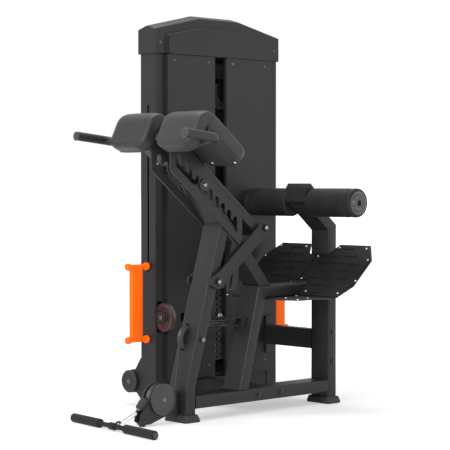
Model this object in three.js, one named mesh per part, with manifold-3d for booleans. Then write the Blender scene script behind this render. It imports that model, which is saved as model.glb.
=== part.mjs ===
// Back extension machine with a weight stack, in millimetres, +Z up.
// X runs along the base rail, Y runs from the user's frame back to the weight tower.
// The frame is drawn from the left leg's corner at the floor, and the whole machine is
// moved at the end so that the origin lies under the middle of its outer box.
import * as THREE from 'three';
import { mergeVertices } from 'three/addons/utils/BufferGeometryUtils.js';
import Module from 'manifold-3d';

const wasm = await Module();
wasm.setup();

// Clearances shared by every fit
const seam = 0.3;
const runningFit = 0.6;
const overrun = 6;
const degree = Math.PI / 180;

// Facets on round forms
const roundFacets = 16;
const smallFacets = 10;
const boreFacets = 6;
const filletFacets = 3;

// Frame tube, welded from one section
const tubeWidth = 100;
const tubeDepth = 50;
const tubeWall = 3;
const tubeCorner = 8;

// Base rail, legs and beam
const railHeight = 49;
const railLength = 732;
const footHeight = 29;
const footFlare = 13;
const footTaper = 7;
const legBreakHeight = 130.5;
const legLean = 16.2 * degree;
const middleLegSetback = 229;
const middleLegLean = 14.6 * degree;
const beamHeight = 453;

// Spine tube and its pins
const spineTilt = 49.7 * degree;
const crossPinX = 85;
const crossPinHeight = 900;
const crossPinRadius = 9;
const crossPinPast = 22;
const washerRadius = 24;
const washerThickness = 5;
const linkFootX = 150;
const linkFootHeight = 529;
const linkHeadX = 402;
const linkHeadHeight = 731;
const linkPinRadius = 11;
const pinHeadRadius = 15;
const pinHeadThickness = 9;

// Roller post and rollers
const postBendHeight = 724;
const rollerX = 686;
const rollerHeight = 828;
const rollerRadius = 57.5;
const rollerLength = 246;
const rollerInner = 56;
const rollerCoreRadius = 21;
const rollerDiscThickness = 7;
const axleRadius = 12.5;
const headBendDrop = 4.5;
const headTop = 77;
const headHalfWidth = 54;
const headFrontReach = 46;
const headCheekHeight = 61;
const headChamfer = 12;
const headBackDrop = 37;
const headNeckDrop = 14;
const headNeckRise = 18;

// Footplate of bent sheet with two rubber mats
const plateThickness = 6;
const plateTilt = 42.3 * degree;
const plateHalfWidth = 304;
const plateBendHalfWidth = 250;
const plateHeadHalfWidth = 247;
const plateFrontHalfWidth = 95;
const plateWaistHalfWidth = 190;
const plateBendX = 598;
const plateWaistX = 465;
const plateShoulderX = 560;
const plateWingX = 654;
const plateCornerX = 761;
const plateRearX = 820;
const notchHalfWidth = 84;
const notchFootHalfWidth = 53;
const notchFrontX = 776;
const matThickness = 4;
const matInset = 6;
const barHeight = 3;
const barLength = 66;
const barWidth = 13;
const barPitchAcross = 80;
const barPitchAlong = 42;

// Carriage: beam, two comb plates and the two links
const carriageTilt = 39 * degree;
const carriageDepth = 40;
const carriageTop = 1;
const carriageReach = 560;
const sleeveRadius = 24;
const combThickness = 8;
const notchCount = 10;
const notchWidth = 22;
const notchPitch = 32.6;
const pinNotch = 5;
const toothDrop = 16.8;
const slotDrop = 43.8;
const combRise = 51.9;
const combSole = 81.8;
const combMargin = 27;
const combCornerCut = 38;
const linkThickness = 9;
const linkWidth = 52;
const linkHeadRadius = 33;

// Pads, backing board and handles
const padWidth = 230;
const padGap = 50;
const padThickness = 42;
const padArmThickness = 46;
const padCornerRadius = 50;
const padSlabEnd = 382;
const padApexReach = 628;
const padFold = 32;
const padArmLength = 150;
const padArmTilt = 63.7 * degree;
const padCrown = 4;
const boardThickness = 6;
const boardInset = 16;
const boardArmReach = 58;
const handleSpread = 311;
const handleRadius = 17.5;
const handleBend = 42;
const handleTipX = -240;
const handleTipHeight = 1087;
const handleElbowX = -78;
const handleElbowHeight = 1070;
const handleRootX = -45;
const handleRootHeight = 1036;

// Weight tower
const towerSetback = 390;
const towerDepth = 90;
const towerLeftX = 184;
const towerWidth = 684;
const towerSeamHeight = 1427;
const uprightWidth = 55;
const sheetWall = 3;
const sideSlotBottom = 551;
const sideSlotTop = 1218;
const sideSlotWidth = 10;
const capCornerRise = 98;
const capFlatRise = 54;
const capCornerHeight = towerSeamHeight + capCornerRise;
const capFlatHeight = capCornerHeight + capFlatRise;
const capGable = 15;
const capFlatWidth = 224;
const capOverhang = 8;
const fasciaDepth = 17;
const fasciaMargin = 55;
const fasciaCornerDrop = 20;
const fasciaFlatDrop = 39;
const fasciaCornerHeight = capCornerHeight - fasciaCornerDrop;
const fasciaFlatHeight = capFlatHeight - fasciaFlatDrop;
const fasciaFlatWidth = 228;
const shroudProud = 18;
const shroudMargin = 51;
const shroudSlot = 64;
const shroudBottom = 104;
const shroudFold = 10;
const sillHeight = 100;
const crownHeight = 1340;
const crownDepth = 60;

// Weight stack
const stackWidth = 300;
const stackDepth = 76;
const stackSet = 8;
const plateCount = 12;
const liftedCount = 5;
const stackBottom = 169;
const platePitch = 24.5;
const plateGroove = 2.5;
const rodRadius = 10;
const rodSpread = 122;
const bumperRadius = 24;
const stemRadius = 11;
const stemHeight = 70;
const selectorRadius = 5;
const selectorHoleRadius = 6;
const selectorKnobRadius = 14;
const selectorKnobLength = 26;
const cableRadius = 2.5;
const cableSlotRadius = 9;

// Pulleys
const pulleyRadius = 57;
const pulleyThickness = 24;
const grooveDepth = 9;
const hubRadius = 16;
const boltRadius = 8;
const ringInset = 12;
const webInset = 7;
const legPulleyX = 81;
const legPulleyHeight = 311;
const frontPulleyX = 205;
const frontPulleyY = 357;
const frontPulleyHeight = 367;
const transferX = 262;
const pulleyAside = 17;
const crownPulleyHeight = 1270;

// Low swivel pulley, pull bar and stop
const swivelX = -15;
const barrelRadius = 13;
const barrelBottom = 37;
const barrelTop = 108;
const hingePinRadius = 6;
const lugThickness = 7;
const lowPulleyX = -92;
const lowPulleyHeight = 96;
const cheekThickness = 5;
const noseX = -200;
const noseHeight = 42;
const restFootRadius = 12;
const restFootLift = 1;
const ballRadius = 16;
const clipWireRadius = 4;
const clipWidth = 32;
const barPivotX = -289;
const barHeightAboveFloor = 17;
const barGripRadius = 17;
const barNeckRadius = 9;
const barEyeRadius = 12;
const barEyeWire = 3.5;
const barSpan = 552;
const barGripLength = 190;
const barSkew = 6.3 * degree;

// Orange band brackets and transport wheels
const bandTopHeight = 574;
const bandBottomHeight = 280;
const bandReach = 108;
const bandRodRadius = 11;
const bandRodLength = 118;
const bandPlateThickness = 8;
const bandPlateWidth = 70;
const wheelRadius = 48;
const wheelThickness = 26;
const wheelSetback = 61;
const wheelHeight = 96;
const wheelBracketTop = 194;
const wheelBracketWall = 5;

// Mesh tools

// One closed solid from a three.js geometry, with shared corners merged.
function closed(geometry) {
  const bare = new THREE.BufferGeometry();
  bare.setAttribute('position', geometry.getAttribute('position'));
  if (geometry.index) bare.setIndex(geometry.index);
  const merged = mergeVertices(bare);
  const corners = merged.index.array;
  const kept = [];
  for (let i = 0; i < corners.length; i += 3) {
    const [a, b, c] = [corners[i], corners[i + 1], corners[i + 2]];
    if (a !== b && b !== c && c !== a) kept.push(a, b, c);
  }
  merged.setIndex(kept);
  return merged;
}

function solidOf(geometry) {
  const mesh = closed(geometry);
  return new wasm.Manifold(new wasm.Mesh({
    numProp: 3,
    vertProperties: new Float32Array(mesh.getAttribute('position').array),
    triVerts: new Uint32Array(mesh.index.array),
  }));
}

function geometryOf(solid) {
  const mesh = solid.getMesh();
  const geometry = new THREE.BufferGeometry();
  geometry.setAttribute('position', new THREE.BufferAttribute(mesh.vertProperties, 3));
  geometry.setIndex(new THREE.BufferAttribute(mesh.triVerts, 1));
  return geometry;
}

function join(pieces) {
  const [first, ...rest] = pieces.map(solidOf);
  return geometryOf(rest.reduce((whole, piece) => whole.add(piece), first));
}

function cut(body, tools) {
  return geometryOf(tools.map(solidOf).reduce((rest, tool) => rest.subtract(tool), solidOf(body)));
}

function keepInside(body, boundary) {
  return geometryOf(solidOf(body).intersect(solidOf(boundary)));
}

// Closed loft through rings of equal count, with a fan on each end.
function loft(rings) {
  const count = rings[0].length;
  const points = rings.flat();
  const faces = [];
  for (let r = 0; r + 1 < rings.length; r += 1) {
    for (let i = 0; i < count; i += 1) {
      const a = r * count + i;
      const b = r * count + (i + 1) % count;
      faces.push(a, b, b + count, a, b + count, a + count);
    }
  }
  const lastRing = (rings.length - 1) * count;
  const centres = [rings[0], rings.at(-1)].map((ring) => {
    const middle = new THREE.Vector3();
    ring.forEach((point) => middle.add(point));
    return middle.divideScalar(count);
  });
  points.push(...centres);
  const first = points.length - 2;
  for (let i = 0; i < count; i += 1) {
    const next = (i + 1) % count;
    faces.push(first, next, i);
    faces.push(first + 1, lastRing + i, lastRing + next);
  }
  const geometry = new THREE.BufferGeometry().setFromPoints(points);
  geometry.setIndex(faces);
  return facingOut(geometry);
}

// Turns a closed mesh the right way round, going by the sign of its volume.
function facingOut(geometry) {
  const place = geometry.getAttribute('position');
  const corners = geometry.index.array;
  const [a, b, c] = [new THREE.Vector3(), new THREE.Vector3(), new THREE.Vector3()];
  let volume = 0;
  for (let i = 0; i < corners.length; i += 3) {
    a.fromBufferAttribute(place, corners[i]);
    b.fromBufferAttribute(place, corners[i + 1]);
    c.fromBufferAttribute(place, corners[i + 2]);
    volume += a.dot(b.cross(c));
  }
  if (volume < 0) {
    const flipped = [];
    for (let i = 0; i < corners.length; i += 3) {
      flipped.push(corners[i], corners[i + 2], corners[i + 1]);
    }
    geometry.setIndex(flipped);
  }
  return geometry;
}

const xAxis = new THREE.Vector3(1, 0, 0);
const yAxis = new THREE.Vector3(0, 1, 0);
const zAxis = new THREE.Vector3(0, 0, 1);

// An outline through points, each corner rounded by its share of a radius.
function outline(points, radius = 0) {
  const shape = new THREE.Shape();
  if (radius === 0) {
    shape.setFromPoints(points.map(([x, y]) => new THREE.Vector2(x, y)));
    return shape;
  }
  const corners = points.map(([x, y]) => new THREE.Vector2(x, y));
  corners.forEach((corner, i) => {
    const before = corners.at(i - 1);
    const after = corners[(i + 1) % corners.length];
    const entry = corner.clone().sub(before);
    const exit = after.clone().sub(corner);
    const reach = Math.min(radius, entry.length() / 2, exit.length() / 2);
    const start = corner.clone().sub(entry.setLength(reach));
    const end = corner.clone().add(exit.setLength(reach));
    if (i === 0) shape.moveTo(start.x, start.y);
    else shape.lineTo(start.x, start.y);
    shape.quadraticCurveTo(corner.x, corner.y, end.x, end.y);
  });
  return shape;
}

// An outline pushed along an axis. It is drawn in (Y, Z) for x, (X, Z) for y and (X, Y) for z.
function prism(shape, axis, from, to, facets = filletFacets) {
  const body = new THREE.ExtrudeGeometry(shape, {
    depth: to - from,
    bevelEnabled: false,
    curveSegments: facets,
    steps: 1,
  });
  const turn = new THREE.Matrix4();
  if (axis === 'x') turn.makeBasis(yAxis, zAxis, xAxis).setPosition(from, 0, 0);
  if (axis === 'y') turn.makeBasis(xAxis, zAxis, yAxis.clone().negate()).setPosition(0, to, 0);
  if (axis === 'z') turn.setPosition(0, 0, from);
  return body.applyMatrix4(turn);
}

// A round bar along an axis, from one station to another, about a centre in the other two.
function rod(axis, from, to, [first, second], radius, facets = roundFacets) {
  const bar = new THREE.CylinderGeometry(radius, radius, to - from, facets);
  const middle = (from + to) / 2;
  if (axis === 'x') return bar.rotateZ(-Math.PI / 2).translate(middle, first, second);
  if (axis === 'y') return bar.translate(first, middle, second);
  return bar.rotateX(Math.PI / 2).translate(first, second, middle);
}

// A box between two corners.
function block([x0, y0, z0], [x1, y1, z1]) {
  const box = new THREE.BoxGeometry(x1 - x0, y1 - y0, z1 - z0);
  return box.translate((x0 + x1) / 2, (y0 + y1) / 2, (z0 + z1) / 2);
}

// A turned form about the Y axis from (radius, height) pairs that start and end on the axis
// or close on themselves.
function turned(profile, facets = roundFacets) {
  const points = profile.map(([radius, height]) => new THREE.Vector2(radius, height));
  return facingOut(closed(new THREE.LatheGeometry(points, facets)));
}

// Section of a rounded rectangular tube, as (side, across) pairs.
function tubeSection(depth, width, corner) {
  const half = [[depth / 2, width / 2], [-depth / 2, width / 2],
    [-depth / 2, -width / 2], [depth / 2, -width / 2]];
  return outline(half, corner).getPoints(filletFacets).slice(0, -1);
}

// Rings of a section along a path in the XZ plane. Bends are mitred, and an end can be
// cut along a face given by its normal.
function ringsAlong(path, section, startFace, endFace) {
  const points = path.map(([x, z]) => new THREE.Vector2(x, z));
  const runs = points.slice(1).map((point, i) => point.clone().sub(points[i]).normalize());
  return points.map((point, i) => {
    const run = runs[Math.max(i - 1, 0)];
    const side = new THREE.Vector2(-run.y, run.x);
    let face = run.clone();
    if (i === 0 && startFace) face.set(...startFace);
    if (i === points.length - 1 && endFace) face.set(...endFace);
    if (i > 0 && i < points.length - 1) face = runs[i - 1].clone().add(runs[i]);
    return section.map((corner) => {
      const slide = -corner.x * side.dot(face) / run.dot(face);
      const place = point.clone().addScaledVector(side, corner.x).addScaledVector(run, slide);
      return new THREE.Vector3(place.x, corner.y, place.y);
    });
  });
}

// Hollow tube along a path in the XZ plane, centred on y = 0.
function tubeAlong(path, options = {}) {
  const { width = tubeWidth, depth = tubeDepth, wall = tubeWall, corner = tubeCorner } = options;
  const outer = loft(ringsAlong(path, tubeSection(depth, width, corner), options.startFace,
      options.endFace));
  const longer = path.map(([x, z]) => new THREE.Vector2(x, z));
  const startRun = longer[0].clone().sub(longer[1]).setLength(tubeDepth);
  const endRun = longer.at(-1).clone().sub(longer.at(-2)).setLength(tubeDepth);
  longer[0].add(startRun);
  longer.at(-1).add(endRun);
  const bore = tubeSection(depth - 2 * wall, width - 2 * wall, Math.max(corner - wall, wall / 2));
  return cut(outer, [loft(ringsAlong(longer.map((point) => [point.x, point.y]), bore))]);
}

// Where a line through one point meets a line through another, both in the XZ plane.
function meeting([ax, az], [adx, adz], [bx, bz], [bdx, bdz]) {
  const along = ((bx - ax) * bdz - (bz - az) * bdx) / (adx * bdz - adz * bdx);
  return [ax + adx * along, az + adz * along];
}

// Finishes
const finishes = {
  frame: { color: 0x1b1b1c, roughness: 0.55, metalness: 0.3 },
  sheet: { color: 0x1f1f20, roughness: 0.6, metalness: 0.2 },
  steel: { color: 0xb9bcc0, roughness: 0.28, metalness: 1 },
  plates: { color: 0x2b2b2d, roughness: 0.7, metalness: 0.4 },
  rubber: { color: 0x161616, roughness: 0.9, metalness: 0 },
  vinyl: { color: 0x19191a, roughness: 0.7, metalness: 0 },
  foam: { color: 0x222223, roughness: 0.85, metalness: 0 },
  plastic: { color: 0x141415, roughness: 0.5, metalness: 0 },
  orange: { color: 0xf0641e, roughness: 0.45, metalness: 0.1 },
  red: { color: 0x4a201a, roughness: 0.5, metalness: 0.1 },
};
const coats = Object.fromEntries(
  Object.entries(finishes).map(([name, coat]) => [name, new THREE.MeshStandardMaterial(coat)]),
);

function piece(name, geometry, finish) {
  const mesh = new THREE.Mesh(closed(geometry), coats[finish]);
  mesh.name = name;
  return mesh;
}

const machine = new THREE.Group();

// The user's frame is centred across its tubes.
const frame = new THREE.Group();
frame.position.y = tubeWidth / 2;
machine.add(frame);

// Places shared by the frame and what is pinned to it
const halfTube = tubeWidth / 2;
const railTop = railHeight + tubeDepth;
const beamTop = beamHeight + tubeDepth;
const postX = tubeDepth + railLength;
const postMiddle = postX + tubeDepth / 2;
const combOuter = halfTube + seam + combThickness;
const linkInner = combOuter + seam;
const linkOuter = linkInner + linkThickness;
const bossRadius = linkPinRadius + tubeWall * 3;
const crossPin = [crossPinX, crossPinHeight];
const linkFoot = [linkFootX, linkFootHeight];
const linkHead = [linkHeadX, linkHeadHeight];
const legRun = [Math.sin(legLean), Math.cos(legLean)];
const middleRun = [Math.sin(middleLegLean), Math.cos(middleLegLean)];
const spineRun = [-Math.cos(spineTilt), Math.sin(spineTilt)];
const spineFace = [Math.sin(spineTilt), Math.cos(spineTilt)];
const level = [1, 0];
const upright = [0, 1];

// A rounded rectangle as a level ring at a height.
function levelRing(height, depth, width, [x, y], corner = tubeCorner) {
  return tubeSection(depth, width, corner).map((c) => new THREE.Vector3(x + c.x, y + c.y, height));
}

// Points that lie a distance below the spine's centre line.
function underSpine(drop) {
  return [crossPinX - spineFace[0] * drop, crossPinHeight - spineFace[1] * drop];
}

// Left leg: a short stub, then a leaning run that is cut to the underside of the spine.
function leftLeg() {
  const stub = [tubeDepth / 2, legBreakHeight];
  const head = meeting(stub, legRun, underSpine(tubeDepth / 2 + seam), spineRun);
  const tube = tubeAlong([[tubeDepth / 2, footHeight + seam], stub, head], { endFace: spineFace });
  const boss = rod('y', -combOuter, combOuter, linkFoot, bossRadius, roundFacets);
  const pinBore = rod('y', -combOuter - overrun, combOuter + overrun, linkFoot, linkPinRadius + seam);
  const bolt = rod('y', -halfTube - boltRadius, halfTube + boltRadius, [legPulleyX, legPulleyHeight],
      boltRadius,
    smallFacets);
  const lugs = [barrelBottom - seam - lugThickness, barrelTop + seam].map((base) => (
    prism(capsule([swivelX, 0], [tubeWall, 0], barrelRadius), 'z', base, base + lugThickness)));
  const hingePin = rod('z', barrelBottom - lugThickness, barrelTop + lugThickness, [swivelX, 0],
      hingePinRadius,
    smallFacets);
  return join([cut(join([tube, boss, ...lugs]), [pinBore, legPulleySlot()]), bolt, hingePin]);
}

// The leg is slotted where its pulley stands through it.
function legPulleySlot() {
  const reach = pulleyRadius + runningFit * 5;
  const halfSlot = pulleyThickness / 2 + runningFit * 3;
  const round = rod('y', pulleyAside - halfSlot, pulleyAside + halfSlot, [legPulleyX, legPulleyHeight],
      reach);
  const exit = block([legPulleyX, pulleyAside - halfSlot, legPulleyHeight],
    [legPulleyX + tubeDepth + overrun, pulleyAside + halfSlot, legPulleyHeight + reach]);
  return join([round, exit]);
}

const middleFoot = [tubeDepth + middleLegSetback + tubeDepth / 2 / Math.cos(middleLegLean),
    railTop + seam];
const beamMiddle = beamHeight + tubeDepth / 2;
const knee = meeting(middleFoot, middleRun, [0, beamMiddle], level);
const kneeFace = [middleRun[0] + level[0], middleRun[1] + level[1]];

function middleLeg() {
  const end = [knee[0] - middleRun[0] * seam, knee[1] - middleRun[1] * seam];
  return tubeAlong([middleFoot, end], { startFace: upright, endFace: kneeFace });
}

function footplateBeam() {
  return tubeAlong([knee, [postX - seam, beamMiddle]], { startFace: kneeFace });
}

function baseRail() {
  const middle = railHeight + tubeDepth / 2;
  return tubeAlong([[tubeDepth + seam, middle], [postX - seam, middle]]);
}

// Slotted plate under the spine, beside the lower link pin.
const stopPlateShares = [[0.86, 1], [0.86, 0.3], [0.62, 0], [0.12, 0], [0, 0.24], [0, 0.6], [0.45, 1]];
const stopPlateX = 205;
const stopPlateRun = 80;
const stopPlateBottom = 490;
const stopPlateThickness = 8;
const stopSlotShares = [[0.3, 0.14], [0.5, 0.72]];
const stopSlotWidth = 11;

function spineHeightAt(x, drop) {
  return meeting(underSpine(drop), spineRun, [x, 0], upright)[1];
}

function stopPlate() {
  const under = tubeDepth / 2 - tubeWall / 2;
  const top = spineHeightAt(stopPlateX + stopPlateRun, tubeDepth / 2 + tubeWall);
  const rise = top - stopPlateBottom;
  const corners = stopPlateShares.map(([along, up]) => {
    const x = stopPlateX + stopPlateRun * along;
    const z = up === 1 ? spineHeightAt(x, under) : stopPlateBottom + rise * up;
    return [x, z];
  });
  const [low, high] = stopSlotShares.map(([along, up]) => [
    stopPlateX + stopPlateRun * along, stopPlateBottom + rise * up]);
  const slotShape = capsule(low, high, stopSlotWidth / 2);
  const face = -halfTube;
  const plate = prism(outline(corners), 'y', face, face + stopPlateThickness);
  return cut(plate, [prism(slotShape, 'y', face - overrun, face + stopPlateThickness + overrun)]);
}

// A slot or bar with round ends between two points.
function capsule([ax, ay], [bx, by], radius, facets = 6) {
  const heading = Math.atan2(by - ay, bx - ax);
  const shape = new THREE.Shape();
  shape.absarc(ax, ay, radius, heading + Math.PI / 2, heading + Math.PI * 1.5, false);
  shape.absarc(bx, by, radius, heading - Math.PI / 2, heading + Math.PI / 2, false);
  return outline(shape.getPoints(facets).map((point) => [point.x, point.y]));
}

function spineTube() {
  const foot = meeting(crossPin, spineRun, [0, beamTop + seam], level);
  const head = [crossPinX + spineRun[0] * crossPinPast, crossPinHeight + spineRun[1] * crossPinPast];
  const tube = tubeAlong([foot, head], { startFace: upright });
  const bore = rod('y', -halfTube - overrun, halfTube + overrun, crossPin, crossPinRadius + seam);
  return cut(join([tube, stopPlate()]), [bore]);
}

// Cross pin with its two washers, which the notches hang on.
function crossPinPiece() {
  const reach = linkInner + washerThickness;
  return join([
    rod('y', -reach - washerThickness / 2, reach + washerThickness / 2, crossPin, crossPinRadius,
        roundFacets),
    rod('y', -reach, -linkInner, crossPin, washerRadius, roundFacets),
    rod('y', linkInner, reach, crossPin, washerRadius, roundFacets),
  ]);
}

// Link pin with a hexagon head on each side.
function headedPin(centre, from, to, radius) {
  return join([
    rod('y', from - pinHeadThickness, to + pinHeadThickness, centre, radius, roundFacets),
    rod('y', from - pinHeadThickness, from, centre, pinHeadRadius, 6),
    rod('y', to, to + pinHeadThickness, centre, pinHeadRadius, 6),
  ]);
}

// Roller post: upright, bent forward to the roller axis, and upright again at its head.
const headBend = [rollerX, rollerHeight - headBendDrop];
function rollerPost() {
  const tube = tubeAlong([[postMiddle, footHeight + seam], [postMiddle, postBendHeight], headBend,
    [rollerX, rollerHeight + headCheekHeight - headBackDrop]]);
  const bore = rod('y', -headHalfWidth - overrun, headHalfWidth + overrun, [rollerX, rollerHeight],
    axleRadius + seam);
  return cut(join([tube, rollerHead()]), [bore]);
}

// Faceted block that closes the post's head, with a long slope down its back.
function rollerHead() {
  const half = tubeDepth / 2;
  const corners = [
    [-half, -headNeckDrop],
    [half, -headNeckDrop],
    [half, headTop - headBackDrop],
    [headChamfer - half, headTop],
    [headChamfer - headFrontReach, headTop],
    [-headFrontReach, headCheekHeight],
    [-headFrontReach, headNeckRise - headNeckDrop],
  ];
  const profile = corners.map(([x, z]) => [rollerX + x, rollerHeight + z]);
  return prism(outline(profile), 'y', -headHalfWidth, headHalfWidth);
}

// Flared rubber shoe under an upright tube.
function rubberFoot(x) {
  const centre = [x, 0];
  const [base, top] = [2 * footFlare, 2 * footTaper];
  return loft([
    levelRing(0, tubeDepth + base, tubeWidth + base, centre),
    levelRing(footHeight / 3, tubeDepth + base, tubeWidth + base, centre),
    levelRing(footHeight, tubeDepth + top, tubeWidth + top, centre),
  ]);
}

// Ties to the weight tower, drawn along X and turned to run along Y.
const tieLength = towerSetback - tubeWidth - 2 * seam;
const upperTieDepth = 82;
const upperTieHeight = 220;
const tieFlangeThickness = 10;
const tieFlangeReach = 38;
const lowerTieX = 392;

function upperTie() {
  const middle = upperTieHeight + upperTieDepth / 2;
  const length = tieLength - shroudProud;
  const tube = tubeAlong([[0, middle], [length - tubeWall, middle]],
      { width: tubeDepth, depth: upperTieDepth });
  const corners = [
    [-tubeDepth / 2, upperTieHeight - tieFlangeReach],
    [tubeDepth / 2, upperTieHeight - tieFlangeReach],
    [tubeDepth / 2, upperTieHeight + upperTieDepth + tieFlangeReach],
    [-tubeDepth / 2, upperTieHeight + upperTieDepth + tieFlangeReach],
  ];
  const flange = prism(outline(corners, tubeCorner), 'x', length - tieFlangeThickness, length);
  return join([tube, flange]);
}

function lowerTie() {
  const middle = railHeight + tubeDepth / 2;
  return tubeAlong([[0, middle], [tieLength, middle]]);
}

function acrossTie(name, geometry, x) {
  const mesh = piece(name, geometry, 'frame');
  mesh.rotation.z = Math.PI / 2;
  mesh.position.set(x, halfTube + seam, 0);
  return mesh;
}

frame.add(
  piece('base_rail', baseRail(), 'frame'),
  piece('left_leg', leftLeg(), 'frame'),
  piece('middle_leg', middleLeg(), 'frame'),
  piece('footplate_beam', footplateBeam(), 'frame'),
  piece('spine_tube', spineTube(), 'frame'),
  piece('roller_post', rollerPost(), 'frame'),
  piece('left_foot', rubberFoot(tubeDepth / 2), 'rubber'),
  piece('right_foot', rubberFoot(postMiddle), 'rubber'),
  piece('cross_pin', crossPinPiece(), 'steel'),
  piece('link_foot_pin', headedPin(linkFoot, -linkOuter - seam, linkOuter + seam, linkPinRadius),
      'steel'),
  acrossTie('upper_tie', upperTie(), postMiddle),
  acrossTie('lower_tie', lowerTie(), lowerTieX + halfTube),
);

// Footplate: one bent sheet. Its tilted part is drawn flat, as (along, across) from the bend.
const plateTop = beamHeight - seam;
const alongOf = (x) => (x - plateBendX) / Math.cos(plateTilt);
const bendWidth = plateBendHalfWidth;
const plateFrontEdge = meeting(middleFoot, middleRun, [0, plateTop], level)[0]
  + tubeDepth / 2 / Math.cos(middleLegLean) + seam;
const slotHalfWidth = halfTube + seam;
const slotEnd = (tubeDepth + 2 * seam + plateThickness / Math.cos(plateTilt)) / Math.sin(plateTilt);

function onTilt(geometry) {
  return geometry.rotateY(-plateTilt).translate(plateBendX, 0, plateTop);
}

function footplate() {
  const lap = plateThickness * Math.tan(plateTilt / 2);
  const [wing, corner, rear] = [plateWingX, plateCornerX, plateRearX].map(alongOf);
  const side = [[-lap, bendWidth], [wing, plateHalfWidth], [corner, plateHalfWidth],
    [rear, plateHeadHalfWidth], [rear, notchHalfWidth], [alongOf(notchFrontX), notchFootHalfWidth]];
  const mirrored = side.map(([along, across]) => [along, -across]).reverse();
  const tilted = onTilt(prism(outline([...side, ...mirrored]), 'z', -plateThickness, 0));
  const front = [[plateBendX + lap, bendWidth], [plateShoulderX, plateWaistHalfWidth],
    [plateWaistX, plateWaistHalfWidth], [plateFrontEdge, plateFrontHalfWidth]];
  const frontMirrored = front.map(([x, across]) => [x, -across]).reverse();
  const levelPlate = prism(outline([...front, ...frontMirrored]), 'z', plateTop - plateThickness,
      plateTop);
  const slot = block([plateBendX, -slotHalfWidth, plateTop - 2 * plateThickness],
    [plateBendX + 2 * tubeDepth, slotHalfWidth, beamTop + seam]);
  return cut(join([tilted, levelPlate]), [slot]);
}

// One half of the rubber mat, with staggered raised bars, on the +Y side.
function matHalf() {
  const [wing, corner, rear, notch] = [plateWingX, plateCornerX, plateRearX, notchFrontX].map(alongOf);
  const inner = matInset / 2;
  const corners = [
    [matInset, slotHalfWidth + inner], [matInset, bendWidth - inner],
    [wing, plateHalfWidth - matInset], [corner - inner, plateHalfWidth - matInset],
    [rear - matInset, plateHeadHalfWidth - matInset], [rear - matInset, notchHalfWidth + inner],
    [notch - inner, notchFootHalfWidth + inner], [notch - inner, inner],
    [slotEnd + inner, inner], [slotEnd + inner, slotHalfWidth + inner],
  ];
  const sheet = prism(outline(corners), 'z', seam, seam + matThickness);
  const bars = [];
  for (let row = 0; row * barPitchAlong < rear - barPitchAlong; row += 1) {
    const along = barPitchAlong * (row + 0.6);
    const shift = row % 2 === 0 ? 0 : barPitchAcross / 2;
    for (let across = barLength; across < plateHalfWidth; across += barPitchAcross) {
      const [near, far] = [across + shift - barLength / 2, across + shift + barLength / 2];
      const ends = [[along - barWidth, near - barWidth / 2], [along - barWidth, far + barWidth / 2],
        [along + barWidth, near - barWidth / 2], [along + barWidth, far + barWidth / 2]];
      if (!ends.every((end) => within(corners, end))) continue;
      const shape = capsule([along, near + barWidth / 2], [along, far - barWidth / 2], barWidth / 2, 2);
      bars.push(prism(shape, 'z', seam + matThickness / 2, seam + matThickness + barHeight));
    }
  }
  return onTilt(join([sheet, ...bars]));
}

// Whether a point lies inside a closed run of corners.
function within(corners, [x, y]) {
  let inside = false;
  corners.forEach(([ax, ay], i) => {
    const [bx, by] = corners.at(i - 1);
    if ((ay > y) !== (by > y) && x < ax + (bx - ax) * (y - ay) / (by - ay)) inside = !inside;
  });
  return inside;
}

// The same piece on the other side of the XZ plane.
function mirroredAcross(geometry) {
  const other = geometry.clone();
  other.scale(1, -1, 1);
  return facingOut(closed(other));
}

const farMat = closed(matHalf());
frame.add(
  piece('footplate', footplate(), 'frame'),
  piece('footplate_mat_far', farMat, 'rubber'),
  piece('footplate_mat_near', mirroredAcross(farMat), 'rubber'),
);

// Carriage and links. They are drawn in place and hang on the upper link pin.
const carriage = new THREE.Group();
carriage.position.y = tubeWidth / 2;
machine.add(carriage);

const carriageSlope = Math.tan(carriageTilt);
const downRun = [Math.cos(carriageTilt), -Math.sin(carriageTilt)];
const upFace = [Math.sin(carriageTilt), Math.cos(carriageTilt)];

// A place on the carriage: along its slope from the upper link pin, and square above it.
function onSlope(along, above) {
  return [
    linkHeadX + downRun[0] * along + upFace[0] * above,
    linkHeadHeight + downRun[1] * along + upFace[1] * above,
  ];
}

// Beam with the pivot sleeve that the upper link pin runs through.
function carriageBeam() {
  const middle = carriageTop - carriageDepth / 2;
  const beam = tubeAlong([onSlope(-carriageReach, middle), onSlope(0, middle)], { depth: carriageDepth });
  const sleeve = rod('y', -combOuter, combOuter, linkHead, sleeveRadius, roundFacets);
  const solidEnd = rod('y', -halfTube + seam, halfTube - seam, linkHead, sleeveRadius, roundFacets);
  const bore = rod('y', -combOuter - overrun, combOuter + overrun, linkHead, linkPinRadius + seam);
  const past = prism(outline([
    onSlope(0, -carriageDepth * 2), onSlope(carriageDepth * 2, -carriageDepth * 2),
    onSlope(carriageDepth * 2, carriageDepth * 2), onSlope(0, carriageDepth * 2),
  ]), 'y', -halfTube - overrun, halfTube + overrun);
  return cut(join([cut(beam, [past]), sleeve, solidEnd]), [bore]);
}

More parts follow.
